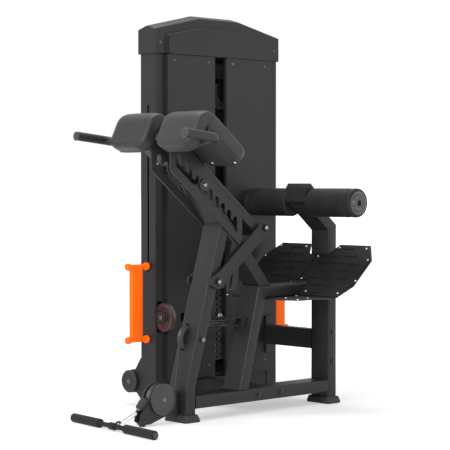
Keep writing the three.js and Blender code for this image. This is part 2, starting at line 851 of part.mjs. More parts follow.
// Comb plate: ten round-topped notches that open downward into one long slot.
function combShape() {
  const line = (x, drop) => [x, crossPinHeight + drop - (x - crossPinX) * carriageSlope];
  const notchMiddle = (notch) => crossPinX + (notch - pinNotch) * notchPitch;
  const half = notchWidth / 2;
  const left = notchMiddle(1) - half - combMargin;
  const right = notchMiddle(notchCount) + half + combMargin;
  const plate = outline([
    line(left, -combSole), line(right - combMargin / 2, -combSole),
        line(right, -combSole + combCornerCut),
    line(right, combRise), line(left + combMargin / 2, combRise), line(left, combRise - combCornerCut),
  ], tubeCorner);
  const arch = crossPinRadius + 2 * seam - half;
  const opening = new THREE.Path();
  const [startX, startZ] = line(notchMiddle(1) - half, -slotDrop);
  const [endX, endZ] = line(notchMiddle(notchCount) + half, -slotDrop);
  opening.moveTo(startX, startZ);
  opening.lineTo(endX, endZ);
  for (let notch = notchCount; notch >= 1; notch -= 1) {
    const middleX = notchMiddle(notch);
    const archZ = line(middleX, arch)[1];
    if (notch < notchCount) opening.lineTo(...line(middleX + half, -toothDrop));
    opening.lineTo(middleX + half, archZ);
    opening.absarc(middleX, archZ, half, 0, Math.PI, false);
    if (notch > 1) opening.lineTo(...line(middleX - half, -toothDrop));
  }
  opening.lineTo(startX, startZ);
  plate.holes.push(opening);
  return plate;
}

function combPlate() {
  return prism(combShape(), 'y', halfTube + seam, combOuter, filletFacets);
}

// Link bar between the two pins, round at the carriage and five-sided at the leg.
const linkHeelShares = [[0.67, -0.5], [0.1, -0.67], [-0.4, -0.37], [-0.67, 0.29], [-0.65, 0.51],
    [-0.38, 0.67],
  [0.67, 0.5]];
function linkBar() {
  const run = new THREE.Vector2(linkHeadX - linkFootX, linkHeadHeight - linkFootHeight);
  const length = run.length();
  const shape = new THREE.Shape();
  const heel = linkHeelShares.map(([along, aside]) => [linkWidth * along, linkWidth * aside]).reverse();
  shape.moveTo(...heel[0]);
  heel.slice(1).forEach(([along, aside]) => shape.lineTo(along, aside));
  const neck = Math.asin(linkWidth / 2 / linkHeadRadius);
  shape.absarc(length, 0, linkHeadRadius, -(Math.PI - neck), Math.PI - neck, false);
  const flat = outline(shape.getPoints(roundFacets / 4).map((point) => [point.x, point.y]));
  const bar = prism(flat, 'y', linkInner, linkOuter);
  const bores = [[0, 0], [length, 0]].map((centre) => (
    rod('y', linkInner - overrun, linkOuter + overrun, centre, linkPinRadius + seam, roundFacets)));
  const drilled = cut(bar, bores);
  return drilled.rotateY(-run.angle()).translate(linkFootX, 0, linkFootHeight);
}

const nearSide = (geometry) => mirroredAcross(geometry);

carriage.add(
  piece('carriage_beam', carriageBeam(), 'frame'),
  piece('comb_plate_far', combPlate(), 'frame'),
  piece('comb_plate_near', nearSide(combPlate()), 'frame'),
  piece('link_bar_far', linkBar(), 'frame'),
  piece('link_bar_near', nearSide(linkBar()), 'frame'),
  piece('link_head_pin', headedPin(linkHead, -linkOuter - seam, linkOuter + seam, linkPinRadius),
      'steel'),
);

// Pad: a cushion folded over the top of the carriage. Sections stand square to its middle
// line, which runs up the slope, round the fold and down the front arm.
const padBottom = carriageTop + seam + boardThickness + seam;
const armRun = [-Math.cos(padArmTilt), -Math.sin(padArmTilt)];

function padMiddleLine() {
  const above = padBottom + padThickness / 2;
  const slabEnd = onSlope(-padSlabEnd, above);
  const fold = onSlope(-padApexReach, above);
  const tip = [fold[0] + armRun[0] * padArmLength, fold[1] + armRun[1] * padArmLength];
  const towards = ([ax, az], [bx, bz], reach) => {
    const length = Math.hypot(bx - ax, bz - az);
    return new THREE.Vector2(ax + (bx - ax) * reach / length, az + (bz - az) * reach / length);
  };
  const line = new THREE.CurvePath();
  const start = new THREE.Vector2(...slabEnd);
  const corner = new THREE.Vector2(...fold);
  const end = new THREE.Vector2(...tip);
  const before = towards(fold, slabEnd, padFold);
  const after = towards(fold, tip, padFold);
  line.add(new THREE.LineCurve(start, before));
  line.add(new THREE.QuadraticBezierCurve(before, corner, after));
  line.add(new THREE.LineCurve(after, end));
  return line;
}

// A cushion's section: flat below, crowned above, with drawn-in sides.
const padSectionPoints = 16;
function padSection(width, thickness) {
  const points = [];
  for (let i = 0; i < padSectionPoints; i += 1) {
    const angle = 2 * Math.PI * i / padSectionPoints;
    const [across, above] = [Math.cos(angle), Math.sin(angle)];
    const swell = (value, power) => Math.sign(value) * Math.abs(value) ** power;
    const crown = above > 0 ? padCrown * (1 - across ** 2) : 0;
    points.push([width / 2 * swell(across, 1 / 3), thickness / 2 * swell(above, 1 / 2) + crown]);
  }
  return points;
}

const padStations = 26;
const padCornerShare = 0.98;
const padEdgeShare = 0.35;
function hipPad() {
  const line = padMiddleLine();
  const length = line.getLength();
  const slabRun = line.curves[0].getLength() + line.curves[1].getLength() / 2;
  const rings = [];
  for (let i = 0; i <= padStations; i += 1) {
    const share = (1 - Math.cos(Math.PI * i / padStations)) / 2;
    const along = share * length;
    const point = line.getPointAt(share);
    const run = line.getTangentAt(share);
    const aside = new THREE.Vector2(run.y, -run.x);
    const toEnd = Math.min(along, length - along);
    const corner = Math.max(0, 1 - toEnd / padCornerRadius);
    const edge = Math.max(0, 1 - toEnd / (padThickness / 2));
    const width = padWidth - 2 * padCornerRadius * (1 - Math.sqrt(1 - corner ** 2)) * padCornerShare;
    const downArm = Math.max(0, along - slabRun) / (length - slabRun);
    const depth = padThickness + (padArmThickness - padThickness) * downArm;
    const thickness = depth * (padEdgeShare + (1 - padEdgeShare) * Math.sqrt(1 - edge ** 2));
    rings.push(padSection(width, thickness).map(([across, above]) => (
      new THREE.Vector3(point.x + aside.x * above, across, point.y + aside.y * above))));
  }
  return loft(rings).translate(0, padGap / 2 + padWidth / 2, 0);
}

// Bent backing board that both pads are screwed to.
function padBoard() {
  const drop = padBottom - seam;
  const slabEnd = onSlope(-padSlabEnd - boardInset, drop);
  const fold = onSlope(-padApexReach, drop + padThickness / 2);
  const armBack = padArmThickness / 2 + boardThickness;
  const inwards = [Math.sin(padArmTilt), -Math.cos(padArmTilt)];
  const backOf = (reach) => [
    fold[0] + armRun[0] * reach + inwards[0] * armBack,
    fold[1] + armRun[1] * reach + inwards[1] * armBack,
  ];
  const inner = meeting(slabEnd, downRun, backOf(0), armRun);
  const tip = backOf(boardArmReach);
  const half = padGap / 2 + padWidth - boardInset;
  const below = boardThickness;
  const slabLow = onSlope(-padSlabEnd - boardInset, drop - below);
  const backLow = (reach) => {
    const [x, z] = backOf(reach);
    return [x + inwards[0] * below, z + inwards[1] * below];
  };
  const innerLow = meeting(slabLow, downRun, backLow(0), armRun);
  const tipLow = backLow(boardArmReach);
  const board = prism(outline([slabEnd, inner, tip, tipLow, innerLow, slabLow]), 'y', -half, half);
  const gap = combOuter + boardThickness;
  const between = block([tip[0] - overrun, -gap, tipLow[1] - overrun], [innerLow[0], gap, innerLow[1]]);
  return cut(board, [between]);
}

// Bent handle: grip, elbow and a cross run that is welded to the comb plate.
function handle() {
  const tip = new THREE.Vector3(handleTipX, handleSpread, handleTipHeight);
  const elbow = new THREE.Vector3(handleElbowX, handleSpread, handleElbowHeight);
  const root = new THREE.Vector3(handleRootX, combOuter, handleRootHeight);
  const before = elbow.clone().add(tip.clone().sub(elbow).setLength(handleBend));
  const after = elbow.clone().add(root.clone().sub(elbow).setLength(handleBend));
  const past = root.clone().add(root.clone().sub(elbow).setLength(overrun * 3));
  const bend = new THREE.QuadraticBezierCurve3(before, elbow, after).getPoints(filletFacets * 2);
  const path = [tip, ...bend, past];
  const bar = barAlong(path, handleRadius, smallFacets);
  const beyond = block([handleTipX, combOuter - overrun * 6, handleRootHeight - overrun * 8],
    [handleRootX + overrun * 8, combOuter + seam, handleTipHeight]);
  return cut(bar, [beyond]);
}

// Round bar along points, mitred at each.
function barAlong(points, radius, facets) {
  const runs = points.slice(1).map((point, i) => point.clone().sub(points[i]).normalize());
  let side = new THREE.Vector3().crossVectors(runs[0], zAxis).normalize();
  const rings = points.map((point, i) => {
    const before = runs[Math.max(i - 1, 0)];
    const after = runs[Math.min(i, runs.length - 1)];
    const face = before.clone().add(after).normalize();
    side = side.clone().addScaledVector(before, -side.dot(before)).normalize();
    const rise = new THREE.Vector3().crossVectors(side, before);
    const ring = [];
    for (let k = 0; k < facets; k += 1) {
      const angle = 2 * Math.PI * k / facets;
      const out = side.clone().multiplyScalar(Math.cos(angle) * radius);
      out.addScaledVector(rise, Math.sin(angle) * radius);
      const slide = -out.dot(face) / before.dot(face);
      ring.push(point.clone().add(out).addScaledVector(before, slide));
    }
    side = side.clone().addScaledVector(after, -side.dot(after)).normalize();
    return ring;
  });
  return loft(rings);
}

const farPad = hipPad();
const farHandle = handle();
carriage.add(
  piece('pad_board', padBoard(), 'plastic'),
  piece('hip_pad_far', farPad, 'vinyl'),
  piece('hip_pad_near', nearSide(farPad), 'vinyl'),
  piece('handle_far', farHandle, 'frame'),
  piece('handle_near', nearSide(farHandle), 'frame'),
);

// Weight tower
const sheaveGroove = pulleyRadius - grooveDepth + cableRadius + seam;
const tower = new THREE.Group();
tower.position.set(towerLeftX, towerSetback, 0);
machine.add(tower);
const towerMiddle = towerWidth / 2;

// Upright: a folded sheet channel that is open toward the stack, slotted on its outer side.
function uprightChannel() {
  const inner = sheetWall;
  const section = outline([[0, 0], [uprightWidth, 0], [uprightWidth, inner], [inner, inner],
    [inner, towerDepth - inner], [uprightWidth, towerDepth - inner], [uprightWidth, towerDepth],
        [0, towerDepth]]);
  const channel = prism(section, 'z', 0, towerSeamHeight - seam);
  const middle = towerDepth / 2;
  const slot = capsule([middle, sideSlotBottom], [middle, sideSlotTop], sideSlotWidth / 2);
  return cut(channel, [prism(slot, 'x', -overrun, sheetWall + overrun)]);
}

// Triangular stirrup behind an upright, with the axle of a transport wheel.
function wheelStirrup() {
  const flange = towerDepth - sheetWall / 2;
  const y = towerDepth + wheelSetback;
  const gap = wheelThickness + 2 * runningFit;
  const eye = boltRadius * 2;
  const shape = outline([
    [flange, wheelHeight / 4], [y, wheelHeight - eye], [y + eye, wheelHeight], [y, wheelHeight + eye],
    [towerDepth + wheelBracketWall, wheelBracketTop], [flange, wheelBracketTop],
  ]);
  const last = wheelBracketWall + gap;
  return [
    prism(shape, 'x', 0, wheelBracketWall),
    prism(shape, 'x', last, last + wheelBracketWall),
    rod('x', -wheelBracketWall, last + 2 * wheelBracketWall, [y, wheelHeight], boltRadius, smallFacets),
  ];
}

// The left upright also holds the front pulley, which stands through a slot between cheeks.
function pulleyUpright() {
  const [x, y, z] = [frontPulleyX - towerLeftX, frontPulleyY - towerSetback, frontPulleyHeight];
  const near = pulleyThickness / 2 + runningFit;
  const slot = block([x - near, -overrun, z - pulleyRadius - overrun], [x + near, sheetWall + overrun,
    z + pulleyRadius + overrun]);
  const cheek = capsule([y, z], [sheetWall / 2, z], hubRadius + cheekThickness);
  const front = block([x - near - cheekThickness - overrun, y - pulleyRadius, z - pulleyRadius],
    [x + near + cheekThickness + overrun, sheetWall, z + pulleyRadius]);
  const cheeks = [x - near - cheekThickness, x + near].map((from) => (
    keepInside(prism(cheek, 'x', from, from + cheekThickness), front)));
  const axle = rod('x', x - near - cheekThickness * 2, x + near + cheekThickness * 2, [y, z],
      boltRadius, smallFacets);
  return join([cut(uprightChannel(), [slot]), ...cheeks, axle, ...wheelStirrup()]);
}

function otherSide(geometry) {
  const other = geometry.clone();
  other.scale(-1, 1, 1);
  other.translate(towerWidth, 0, 0);
  return facingOut(closed(other));
}

// Sill box between the uprights. It carries the guide rods and the bumpers under the stack.
const sillInset = sheetWall + seam;
const rodX = [towerMiddle - rodSpread, towerMiddle + rodSpread];
const rodY = towerDepth / 2;
function towerSill() {
  const sill = block([sillInset, sillInset, 0],
      [towerWidth - sillInset, towerDepth - sillInset, sillHeight]);
  const hollow = block([sillInset + sheetWall, sillInset + sheetWall, -overrun],
    [towerWidth - sillInset - sheetWall, towerDepth - sillInset - sheetWall, sillHeight - sheetWall * 2]);
  const holes = rodX.map((x) => rod('z', sillHeight - sheetWall * 4, sillHeight + overrun, [x, rodY],
    rodRadius + seam, roundFacets));
  return cut(sill, [hollow, ...holes]);
}

// Rubber bumpers round the guide rods, which the stack rests on.
function stackBumpers() {
  const bar = block([rodX[0], rodY - bumperRadius / 2, sillHeight + seam],
    [rodX[1], rodY + bumperRadius / 2, sillHeight + seam + bumperRadius / 2]);
  const pucks = rodX.map((x) => rod('z', sillHeight + seam, stackBottom - seam, [x, rodY],
      bumperRadius, roundFacets));
  const bores = rodX.map((x) => rod('z', sillHeight - overrun, stackBottom + overrun, [x, rodY],
    rodRadius + runningFit, roundFacets));
  return cut(join([bar, ...pucks]), bores);
}

// Crown beam at the head of the uprights, with the cheeks of the crown pulley.
const crownCheek = pulleyThickness / 2 + runningFit + cheekThickness;
const crownY = towerDepth / 2;
function crownBeam() {
  const inset = sheetWall + seam;
  const back = towerDepth - shroudFold - seam;
  const top = crownHeight + crownDepth;
  const beam = block([inset, inset, crownHeight], [towerWidth - inset, back, top]);
  const hollow = block([inset - overrun, inset + sheetWall, crownHeight + sheetWall],
    [towerWidth - inset + overrun, back - sheetWall, top - sheetWall]);
  const axleHeight = crownPulleyHeight;
  const cheeks = [-1, 1].map((side) => {
    const shape = capsule([crownPulleyX, axleHeight], [crownPulleyX, crownHeight + sheetWall],
        hubRadius + sheetWall);
    const [from, to] = [side * crownCheek, side * (crownCheek - cheekThickness)].sort((a, b) => a - b);
    return prism(shape, 'y', crownY + from, crownY + to);
  });
  const axle = rod('y', crownY - crownCheek - sheetWall, crownY + crownCheek + sheetWall,
    [crownPulleyX, axleHeight], boltRadius, smallFacets);
  const holes = rodX.map((x) => rod('z', crownHeight - overrun, crownHeight + sheetWall + overrun,
      [x, rodY],
    rodRadius + seam, roundFacets));
  return join([cut(beam, [hollow, ...holes]), ...cheeks, axle]);
}

function guideRod(x) {
  return rod('z', sillHeight - sheetWall * 2, crownHeight + sheetWall * 2, [x, rodY], rodRadius,
      roundFacets);
}

// Cap: a gabled hood of sheet with a flat ridge, and the arched fascia on its front.
function capRing(x, height, inset) {
  const [front, back] = [-capOverhang + inset, towerDepth + capOverhang - inset];
  const base = towerSeamHeight - (inset > 0 ? overrun : 0);
  return [[front, base], [back, base], [back, height - inset],
    [(front + back) / 2, height + capGable - inset], [front, height - inset]]
    .map(([y, z]) => new THREE.Vector3(x, y, z));
}

function capLoft(inset) {
  const left = -capOverhang + inset;
  const right = towerWidth + capOverhang - inset;
  const half = capFlatWidth / 2;
  return loft([capRing(left, capCornerHeight, inset), capRing(towerMiddle - half, capFlatHeight, inset),
    capRing(towerMiddle + half, capFlatHeight, inset), capRing(right, capCornerHeight, inset)]);
}

function topCap() {
  const half = fasciaFlatWidth / 2;
  const [left, right] = [fasciaMargin, towerWidth - fasciaMargin];
  const arch = [[left, towerSeamHeight + seam], [right, towerSeamHeight + seam],
      [right, fasciaCornerHeight],
    [towerMiddle + half, fasciaFlatHeight], [towerMiddle - half, fasciaFlatHeight],
        [left, fasciaCornerHeight]];
  const fascia = prism(outline(arch, tubeCorner), 'y', -capOverhang - fasciaDepth,
      -capOverhang + sheetWall / 2);
  return join([cut(capLoft(0), [capLoft(sheetWall)]), fascia]);
}

// Front shroud: a pan of folded sheet that stands proud of the uprights.
const shroudWidth = towerMiddle - shroudSlot / 2 - shroudMargin;
function frontShroud() {
  const [left, right] = [shroudMargin, shroudMargin + shroudWidth];
  const wall = sheetWall;
  const section = outline([
    [left, -seam], [left, -shroudProud], [right, -shroudProud], [right, -seam],
    [right - wall, -seam], [right - wall, -shroudProud + wall],
    [left + wall, -shroudProud + wall], [left + wall, -seam],
  ]);
  const pan = prism(section, 'z', shroudBottom, towerSeamHeight - seam);
  const x = transferX + sheaveGroove - towerLeftX;
  const height = legPulleyHeight + sheaveGroove;
  const slot = capsule([x, height - cableSlotRadius], [x, height + cableSlotRadius], cableSlotRadius);
  return cut(pan, [prism(slot, 'y', -shroudProud - overrun, overrun)]);
}

// Rear shroud: a shallow pan between the uprights' back flanges.
function rearShroud() {
  const [left, right] = [uprightWidth + seam, towerWidth - uprightWidth - seam];
  const back = towerDepth;
  const section = outline([[left, back - shroudFold], [left, back], [right, back],
      [right, back - shroudFold],
    [right - sheetWall, back - shroudFold], [right - sheetWall, back - sheetWall],
    [left + sheetWall, back - sheetWall], [left + sheetWall, back - shroudFold]]);
  return prism(section, 'z', sillHeight + seam, towerSeamHeight - seam);
}

// Weight stack. Each plate is bored for the two guide rods and for the stem, and drilled
// across its front for the selector pin.
const stackY = stackSet + stackDepth / 2;
const liftedBottom = stackBottom + (plateCount - liftedCount) * platePitch;
const stackTop = stackBottom + plateCount * platePitch;

function plates(from, to) {
  const body = block([towerMiddle - stackWidth / 2, stackSet, from], [towerMiddle + stackWidth / 2,
    stackSet + stackDepth, to]);
  const tools = rodX.map((x) => rod('z', from - overrun, to + overrun, [x, rodY],
    rodRadius + runningFit * 2, roundFacets));
  const count = Math.round((to - from) / platePitch);
  for (let i = 0; i < count; i += 1) {
    const base = from + i * platePitch;
    if (i > 0) tools.push(plateSeam(base));
    tools.push(rod('y', stackSet - overrun, stackSet + stackDepth / 2,
        [towerMiddle, base + platePitch / 2],
      selectorHoleRadius, boreFacets));
  }
  return { body, tools };
}

// The groove that parts one plate from the next, all round.
function plateSeam(height) {
  const [left, right] = [towerMiddle - stackWidth / 2, towerMiddle + stackWidth / 2];
  const reach = plateGroove * 2;
  const ring = block([left - overrun, stackSet - overrun, height - plateGroove / 2],
    [right + overrun, stackSet + stackDepth + overrun, height + plateGroove / 2]);
  const core = block([left + reach, stackSet + reach, height - plateGroove],
    [right - reach, stackSet + stackDepth - reach, height + plateGroove]);
  return cut(ring, [core]);
}

const stemBore = (from, to) => rod('z', from - overrun, to + overrun, [towerMiddle, stackY],
  stemRadius + runningFit, roundFacets);

function restingPlates() {
  const top = liftedBottom - seam;
  const { body, tools } = plates(stackBottom, top);
  return cut(body, [...tools, stemBore(stackBottom, top)]);
}

// Lifted plates under the head plate, with the selector stem that hangs through the stack
// and the cable's anchor. The selector pin holds them together.
function liftedPlates() {
  const { body, tools } = plates(liftedBottom, stackTop);
  const stem = rod('z', stackBottom + platePitch, stackTop - platePitch / 2, [towerMiddle, stackY],
    stemRadius, roundFacets);
  const anchor = rod('z', stackTop - platePitch / 2, stackTop + stemHeight, [towerMiddle, stackY],
    stemRadius, roundFacets);
  const nut = rod('z', stackTop, stackTop + stemRadius, [towerMiddle, stackY], stemRadius * 1.7, 6);
  return join([cut(body, tools), stem, anchor, nut]);
}

// Selector pin in the lowest lifted plate, with a knob.
function selectorPin() {
  const height = liftedBottom + platePitch / 2;
  const face = stackSet - selectorKnobLength;
  const shaft = rod('y', face, stackSet + stackDepth / 2 - stemRadius - runningFit * 2,
    [towerMiddle, height], selectorRadius, smallFacets);
  const knob = turned([[0, 0], [selectorKnobRadius * 0.8, 0],
      [selectorKnobRadius, selectorKnobRadius * 0.3],
    [selectorKnobRadius, selectorKnobLength * 0.6], [selectorRadius * 1.4, selectorKnobLength - seam],
    [0, selectorKnobLength - seam]], smallFacets);
  return join([shaft, knob.translate(towerMiddle, face, height)]);
}

// Cable from the stack's anchor up to the crown pulley.
function stackCable() {
  return rod('z', stackTop + stemHeight + seam, crownPulleyHeight, [towerMiddle, stackY], cableRadius,
    boreFacets);
}
const crownPulleyX = towerMiddle + sheaveGroove;

// Orange bracket on a tower side: a plate between two rods.
function bandBracket() {
  const plateX = -bandReach;
  const [low, high] = [bandBottomHeight, bandTopHeight];
  const middle = towerDepth / 2;
  const rods = [low, high].map((z) => rod('x', -bandReach - bandPlateThickness, -seam, [middle, z],
    bandRodRadius, smallFacets));
  const ends = [low, high].map((z) => rod('y', middle - bandRodLength / 2, middle + bandRodLength / 2,
    [plateX, z], bandRodRadius, smallFacets));
  const collars = [low, high].flatMap((z) => [-1, 1].map((side) => {
    const at = middle + side * (bandRodLength / 2 - bandRodRadius / 2);
    return rod('y', at - bandRodRadius / 2, at + bandRodRadius / 2, [plateX, z], bandRodRadius * 1.5,
        smallFacets);
  }));
  const strap = block([plateX - bandPlateThickness / 2, middle - bandPlateWidth / 2, low],
    [plateX + bandPlateThickness / 2, middle + bandPlateWidth / 2, high]);
  const flanges = [low, high].map((z) => rod('x', -bandPlateThickness - seam, -seam, [middle, z],
    bandRodRadius * 2, smallFacets));
  return join([strap, ...rods, ...ends, ...collars, ...flanges]);
}

tower.add(
  piece('upright_left', pulleyUpright(), 'sheet'),
  piece('upright_right', otherSide(join([uprightChannel(), ...wheelStirrup()])), 'sheet'),
  piece('tower_sill', towerSill(), 'sheet'),
  piece('stack_bumpers', stackBumpers(), 'rubber'),
  piece('crown_beam', crownBeam(), 'frame'),
  piece('guide_rod_left', guideRod(rodX[0]), 'steel'),
  piece('guide_rod_right', guideRod(rodX[1]), 'steel'),
  piece('top_cap', topCap(), 'sheet'),
  piece('shroud_left', frontShroud(), 'sheet'),
  piece('shroud_right', otherSide(frontShroud()), 'sheet'),
  piece('rear_shroud', rearShroud(), 'sheet'),
  piece('resting_plates', restingPlates(), 'plates'),
  piece('lifted_plates', liftedPlates(), 'plates'),
  piece('selector_pin', selectorPin(), 'steel'),
  piece('stack_cable', stackCable(), 'rubber'),
  piece('band_bracket_left', bandBracket(), 'orange'),
  piece('band_bracket_right', otherSide(bandBracket()), 'orange'),
);

// Sheave turned about its own Y axis: rim with a cable groove, dished web and hub.
function sheave(facets = roundFacets) {
  const half = pulleyThickness / 2;
  const rim = pulleyRadius - grooveDepth;
  const side = [[boltRadius + seam, half], [hubRadius, half], [rim - ringInset, half - webInset],
    [pulleyRadius, half], [rim, cableRadius]];
  const other = side.map(([radius, height]) => [radius, -height]).reverse();
  return turned([...side, ...other, side[0]], facets);
}

function placed(mesh, [x, y, z], axis) {
  mesh.position.set(x, y, z);
  if (axis === 'x') mesh.rotation.z = Math.PI / 2;
  if (axis === 'z') mesh.rotation.x = Math.PI / 2;
  return mesh;
}

// Back rollers on one axle through the post's head.
const rollers = new THREE.Group();
rollers.position.set(rollerX, tubeWidth / 2, rollerHeight);
machine.add(rollers);

function rollerAxle() {
  const reach = rollerInner + rollerLength + runningFit;
  const bar = rod('y', -reach, reach, [0, 0], axleRadius, roundFacets);
  const ends = [-1, 1].map((side) => {
    const [from, to] = [side * reach, side * (reach + rollerDiscThickness)].sort((a, b) => a - b);
    return rod('y', from, to, [0, 0], axleRadius * 1.6, roundFacets);
  });
  return join([bar, ...ends]);
}

// Foam roller with rounded shoulders and a recessed disc in each end.
function roller() {
  const [inner, outer] = [rollerInner, rollerInner + rollerLength];
  const shoulder = rollerRadius / 6;
  const bore = axleRadius + seam;
  return turned([
    [bore, inner + rollerDiscThickness / 2], [rollerCoreRadius, inner + rollerDiscThickness / 2],
    [rollerCoreRadius, inner], [rollerRadius - shoulder, inner],
        [rollerRadius - shoulder / 3, inner + shoulder / 3],
    [rollerRadius, inner + shoulder], [rollerRadius, outer - shoulder],
    [rollerRadius - shoulder / 3, outer - shoulder / 3], [rollerRadius - shoulder, outer],
    [rollerCoreRadius * 1.5, outer], [rollerCoreRadius * 1.5, outer - rollerDiscThickness / 2],
    [bore, outer - rollerDiscThickness / 2], [bore, inner + rollerDiscThickness / 2],
  ]);
}

rollers.add(
  piece('roller_axle', rollerAxle(), 'steel'),
  piece('roller_far', roller(), 'foam'),
  piece('roller_near', nearSide(roller()), 'foam'),
);

// Pulleys that carry the lifting cable, and the brackets that hold them
const cablePlane = tubeWidth / 2 + pulleyAside;
const cableHeight = legPulleyHeight + sheaveGroove;
const transferY = cablePlane + sheaveGroove;
const halfSheave = pulleyThickness / 2;

// Horizontal cheeks on the middle leg, with the transfer pulley's axle.
function transferBracket() {
  const past = transferX + pulleyRadius * 2;
  const near = halfSheave + runningFit;
  const levels = [cableHeight + near, cableHeight - near - cheekThickness];
  const cheeks = levels.map((base) => prism(
    capsule([transferX, transferY], [past, tubeWidth * 0.6], hubRadius + cheekThickness), 'z', base,
    base + cheekThickness));
  const axle = rod('z', levels[1] - cheekThickness, levels[0] + 2 * cheekThickness,
      [transferX, transferY],
    boltRadius, smallFacets);
  const legFace = (height) => meeting(middleFoot, middleRun, [0, height], level)[0]
    - tubeDepth / 2 / Math.cos(middleLegLean) - seam;
  const [low, high] = [levels[1] - overrun * 2, levels[0] + overrun * 3];
  const beyond = prism(outline([[legFace(low), low], [past * 2, low], [past * 2, high],
      [legFace(high), high]]), 'y',
    -tubeWidth, tubeWidth * 2);
  const web = prism(outline([
    [legFace(low) - cheekThickness * 2, levels[1]], [past, levels[1]],
    [past, levels[0] + cheekThickness], [legFace(high) - cheekThickness * 2, levels[0] + cheekThickness],
  ]), 'y', tubeWidth * 0.35, tubeWidth * 0.75);
  return cut(join([...cheeks, web, axle]), [beyond]);
}

// Lifting cable: up from the low pulley, over the leg pulley, round the transfer pulley and
// through the shroud's slot into the tower.
const cableFacets = 8;
function liftCable() {
  const steps = 6;
  const arc = (place) => Array.from({ length: steps + 1 }, (_, i) => place(Math.PI / 2 * i / steps));
  const reach = sheaveGroove / Math.cos(Math.PI / 4 / steps);
  const overLeg = arc((angle) => new THREE.Vector3(
    legPulleyX - reach * Math.cos(angle), cablePlane, legPulleyHeight + reach * Math.sin(angle)));
  const roundTransfer = arc((angle) => new THREE.Vector3(
    transferX + reach * Math.sin(angle), transferY - reach * Math.cos(angle), cableHeight));
  const low = new THREE.Vector3(swivelX, tubeWidth / 2, barrelTop + lugThickness + seam + cableRadius);
  const inside = new THREE.Vector3(transferX + sheaveGroove, towerSetback + towerDepth / 4, cableHeight);
  return barAlong([low, ...overLeg, ...roundTransfer, inside], cableRadius, cableFacets);
}

const pulleys = new THREE.Group();
machine.add(pulleys);
pulleys.add(
  placed(piece('leg_pulley', sheave(), 'plastic'), [legPulleyX, cablePlane, legPulleyHeight], 'y'),
  placed(piece('transfer_pulley', sheave(), 'plastic'), [transferX, transferY, cableHeight], 'z'),
  placed(piece('crown_pulley', sheave(), 'plastic'),
    [towerLeftX + crownPulleyX, towerSetback + crownY, crownPulleyHeight], 'y'),
  placed(piece('front_pulley', sheave(), 'red'), [frontPulleyX, frontPulleyY, frontPulleyHeight], 'x'),
  piece('transfer_bracket', transferBracket(), 'frame'),
  piece('lift_cable', liftCable(), 'rubber'),
);

// Low pulley: a bracket that swivels on the left leg's hinge pin, with its sheave between
// two cheeks, a nose that rests on the floor, the ball stop, the clip and the pull bar
const low = new THREE.Group();
low.position.y = tubeWidth / 2;
machine.add(low);

const cheekInner = halfSheave + runningFit;
const cheekOuter = cheekInner + cheekThickness;
const lowPulley = [lowPulleyX, lowPulleyHeight];
const slantX = -Math.SQRT1_2;
const cableOff = [lowPulleyX + slantX * sheaveGroove, lowPulleyHeight - slantX * sheaveGroove];
const ballPath = (reach) => [cableOff[0] + slantX * reach, cableOff[1] + slantX * reach];
const ballInCheeks = Math.sqrt(ballRadius ** 2 - cheekInner ** 2) + seam;
const ballPlace = ballPath(ballRadius * 5);
const cheekEdge = (reach) => {
  const [x, z] = ballPath(reach);
  return [x - slantX * ballInCheeks, z + slantX * ballInCheeks];
};

function swivelBracket() {
  const inner = swivelX - barrelRadius / 2;
  const [crest, snout] = [cheekEdge(hubRadius), cheekEdge(ballRadius * 6.5)];
  const side = outline([
    [inner, barrelTop], [lowPulleyX + hubRadius, crest[1]], crest, snout,
    [noseX, noseHeight / 2], [noseX + noseHeight / 2, restFootLift + lugThickness],
    [lowPulleyX - pulleyRadius, restFootLift + lugThickness],
        [lowPulleyX + hubRadius, barrelBottom - lugThickness],
    [inner, barrelBottom],
  ]);
  const cheeks = [-1, 1].map((half) => {
    const [from, to] = [half * cheekInner, half * cheekOuter].sort((a, b) => a - b);
    return prism(side, 'y', from, to);
  });
  const back = block([inner - barrelRadius, -cheekOuter, barrelBottom], [swivelX, cheekOuter, barrelTop]);
  const barrel = rod('z', barrelBottom, barrelTop, [swivelX, 0], barrelRadius);
  const trim = rod('y', -cheekOuter - overrun, cheekOuter + overrun, lowPulley,
      pulleyRadius + runningFit * 2);
  const clearMiddle = keepInside(trim, block([lowPulleyX - pulleyRadius * 2, -cheekInner, 0],
    [0, cheekInner, barrelTop * 2]));
  const nose = block([noseX + noseHeight / 4, -cheekInner - seam, restFootLift + lugThickness],
    [noseX + noseHeight, cheekInner + seam, noseHeight / 2]);
  const foot = rod('z', restFootLift, restFootLift + lugThickness * 1.5, [noseX + noseHeight * 0.6, 0],
      restFootRadius);
  const axle = rod('y', -cheekOuter - cheekThickness, cheekOuter + cheekThickness, lowPulley, boltRadius);
  const bore = rod('z', barrelBottom - overrun, barrelTop + overrun, [swivelX, 0], hingePinRadius + seam);
  return join([cut(join([...cheeks, back, barrel, nose, foot]), [clearMiddle, bore]), axle]);
}

const wireFacets = 8;

// Rubber ball that stops the cable against the bracket, with the cable's ferrule.
const clipTop = [ballPlace[0] + slantX * ballRadius * 1.6, ballPlace[1] + slantX * ballRadius * 1.6];
function ballStop() {
  const ball = new THREE.SphereGeometry(ballRadius, smallFacets * 1.5, smallFacets);
  ball.translate(ballPlace[0], 0, ballPlace[1]);
  const tail = barAlong([
    new THREE.Vector3(ballPlace[0], 0, ballPlace[1]),
    new THREE.Vector3(clipTop[0], 0, clipTop[1]),
  ], clipWireRadius * 1.4, wireFacets);
  const head = barAlong([
    new THREE.Vector3(ballPlace[0] - slantX * ballRadius * 2.4, 0,
        ballPlace[1] - slantX * ballRadius * 2.4),
    new THREE.Vector3(ballPlace[0], 0, ballPlace[1]),
  ], cableRadius, wireFacets);
  return join([ball, tail, head]);
}

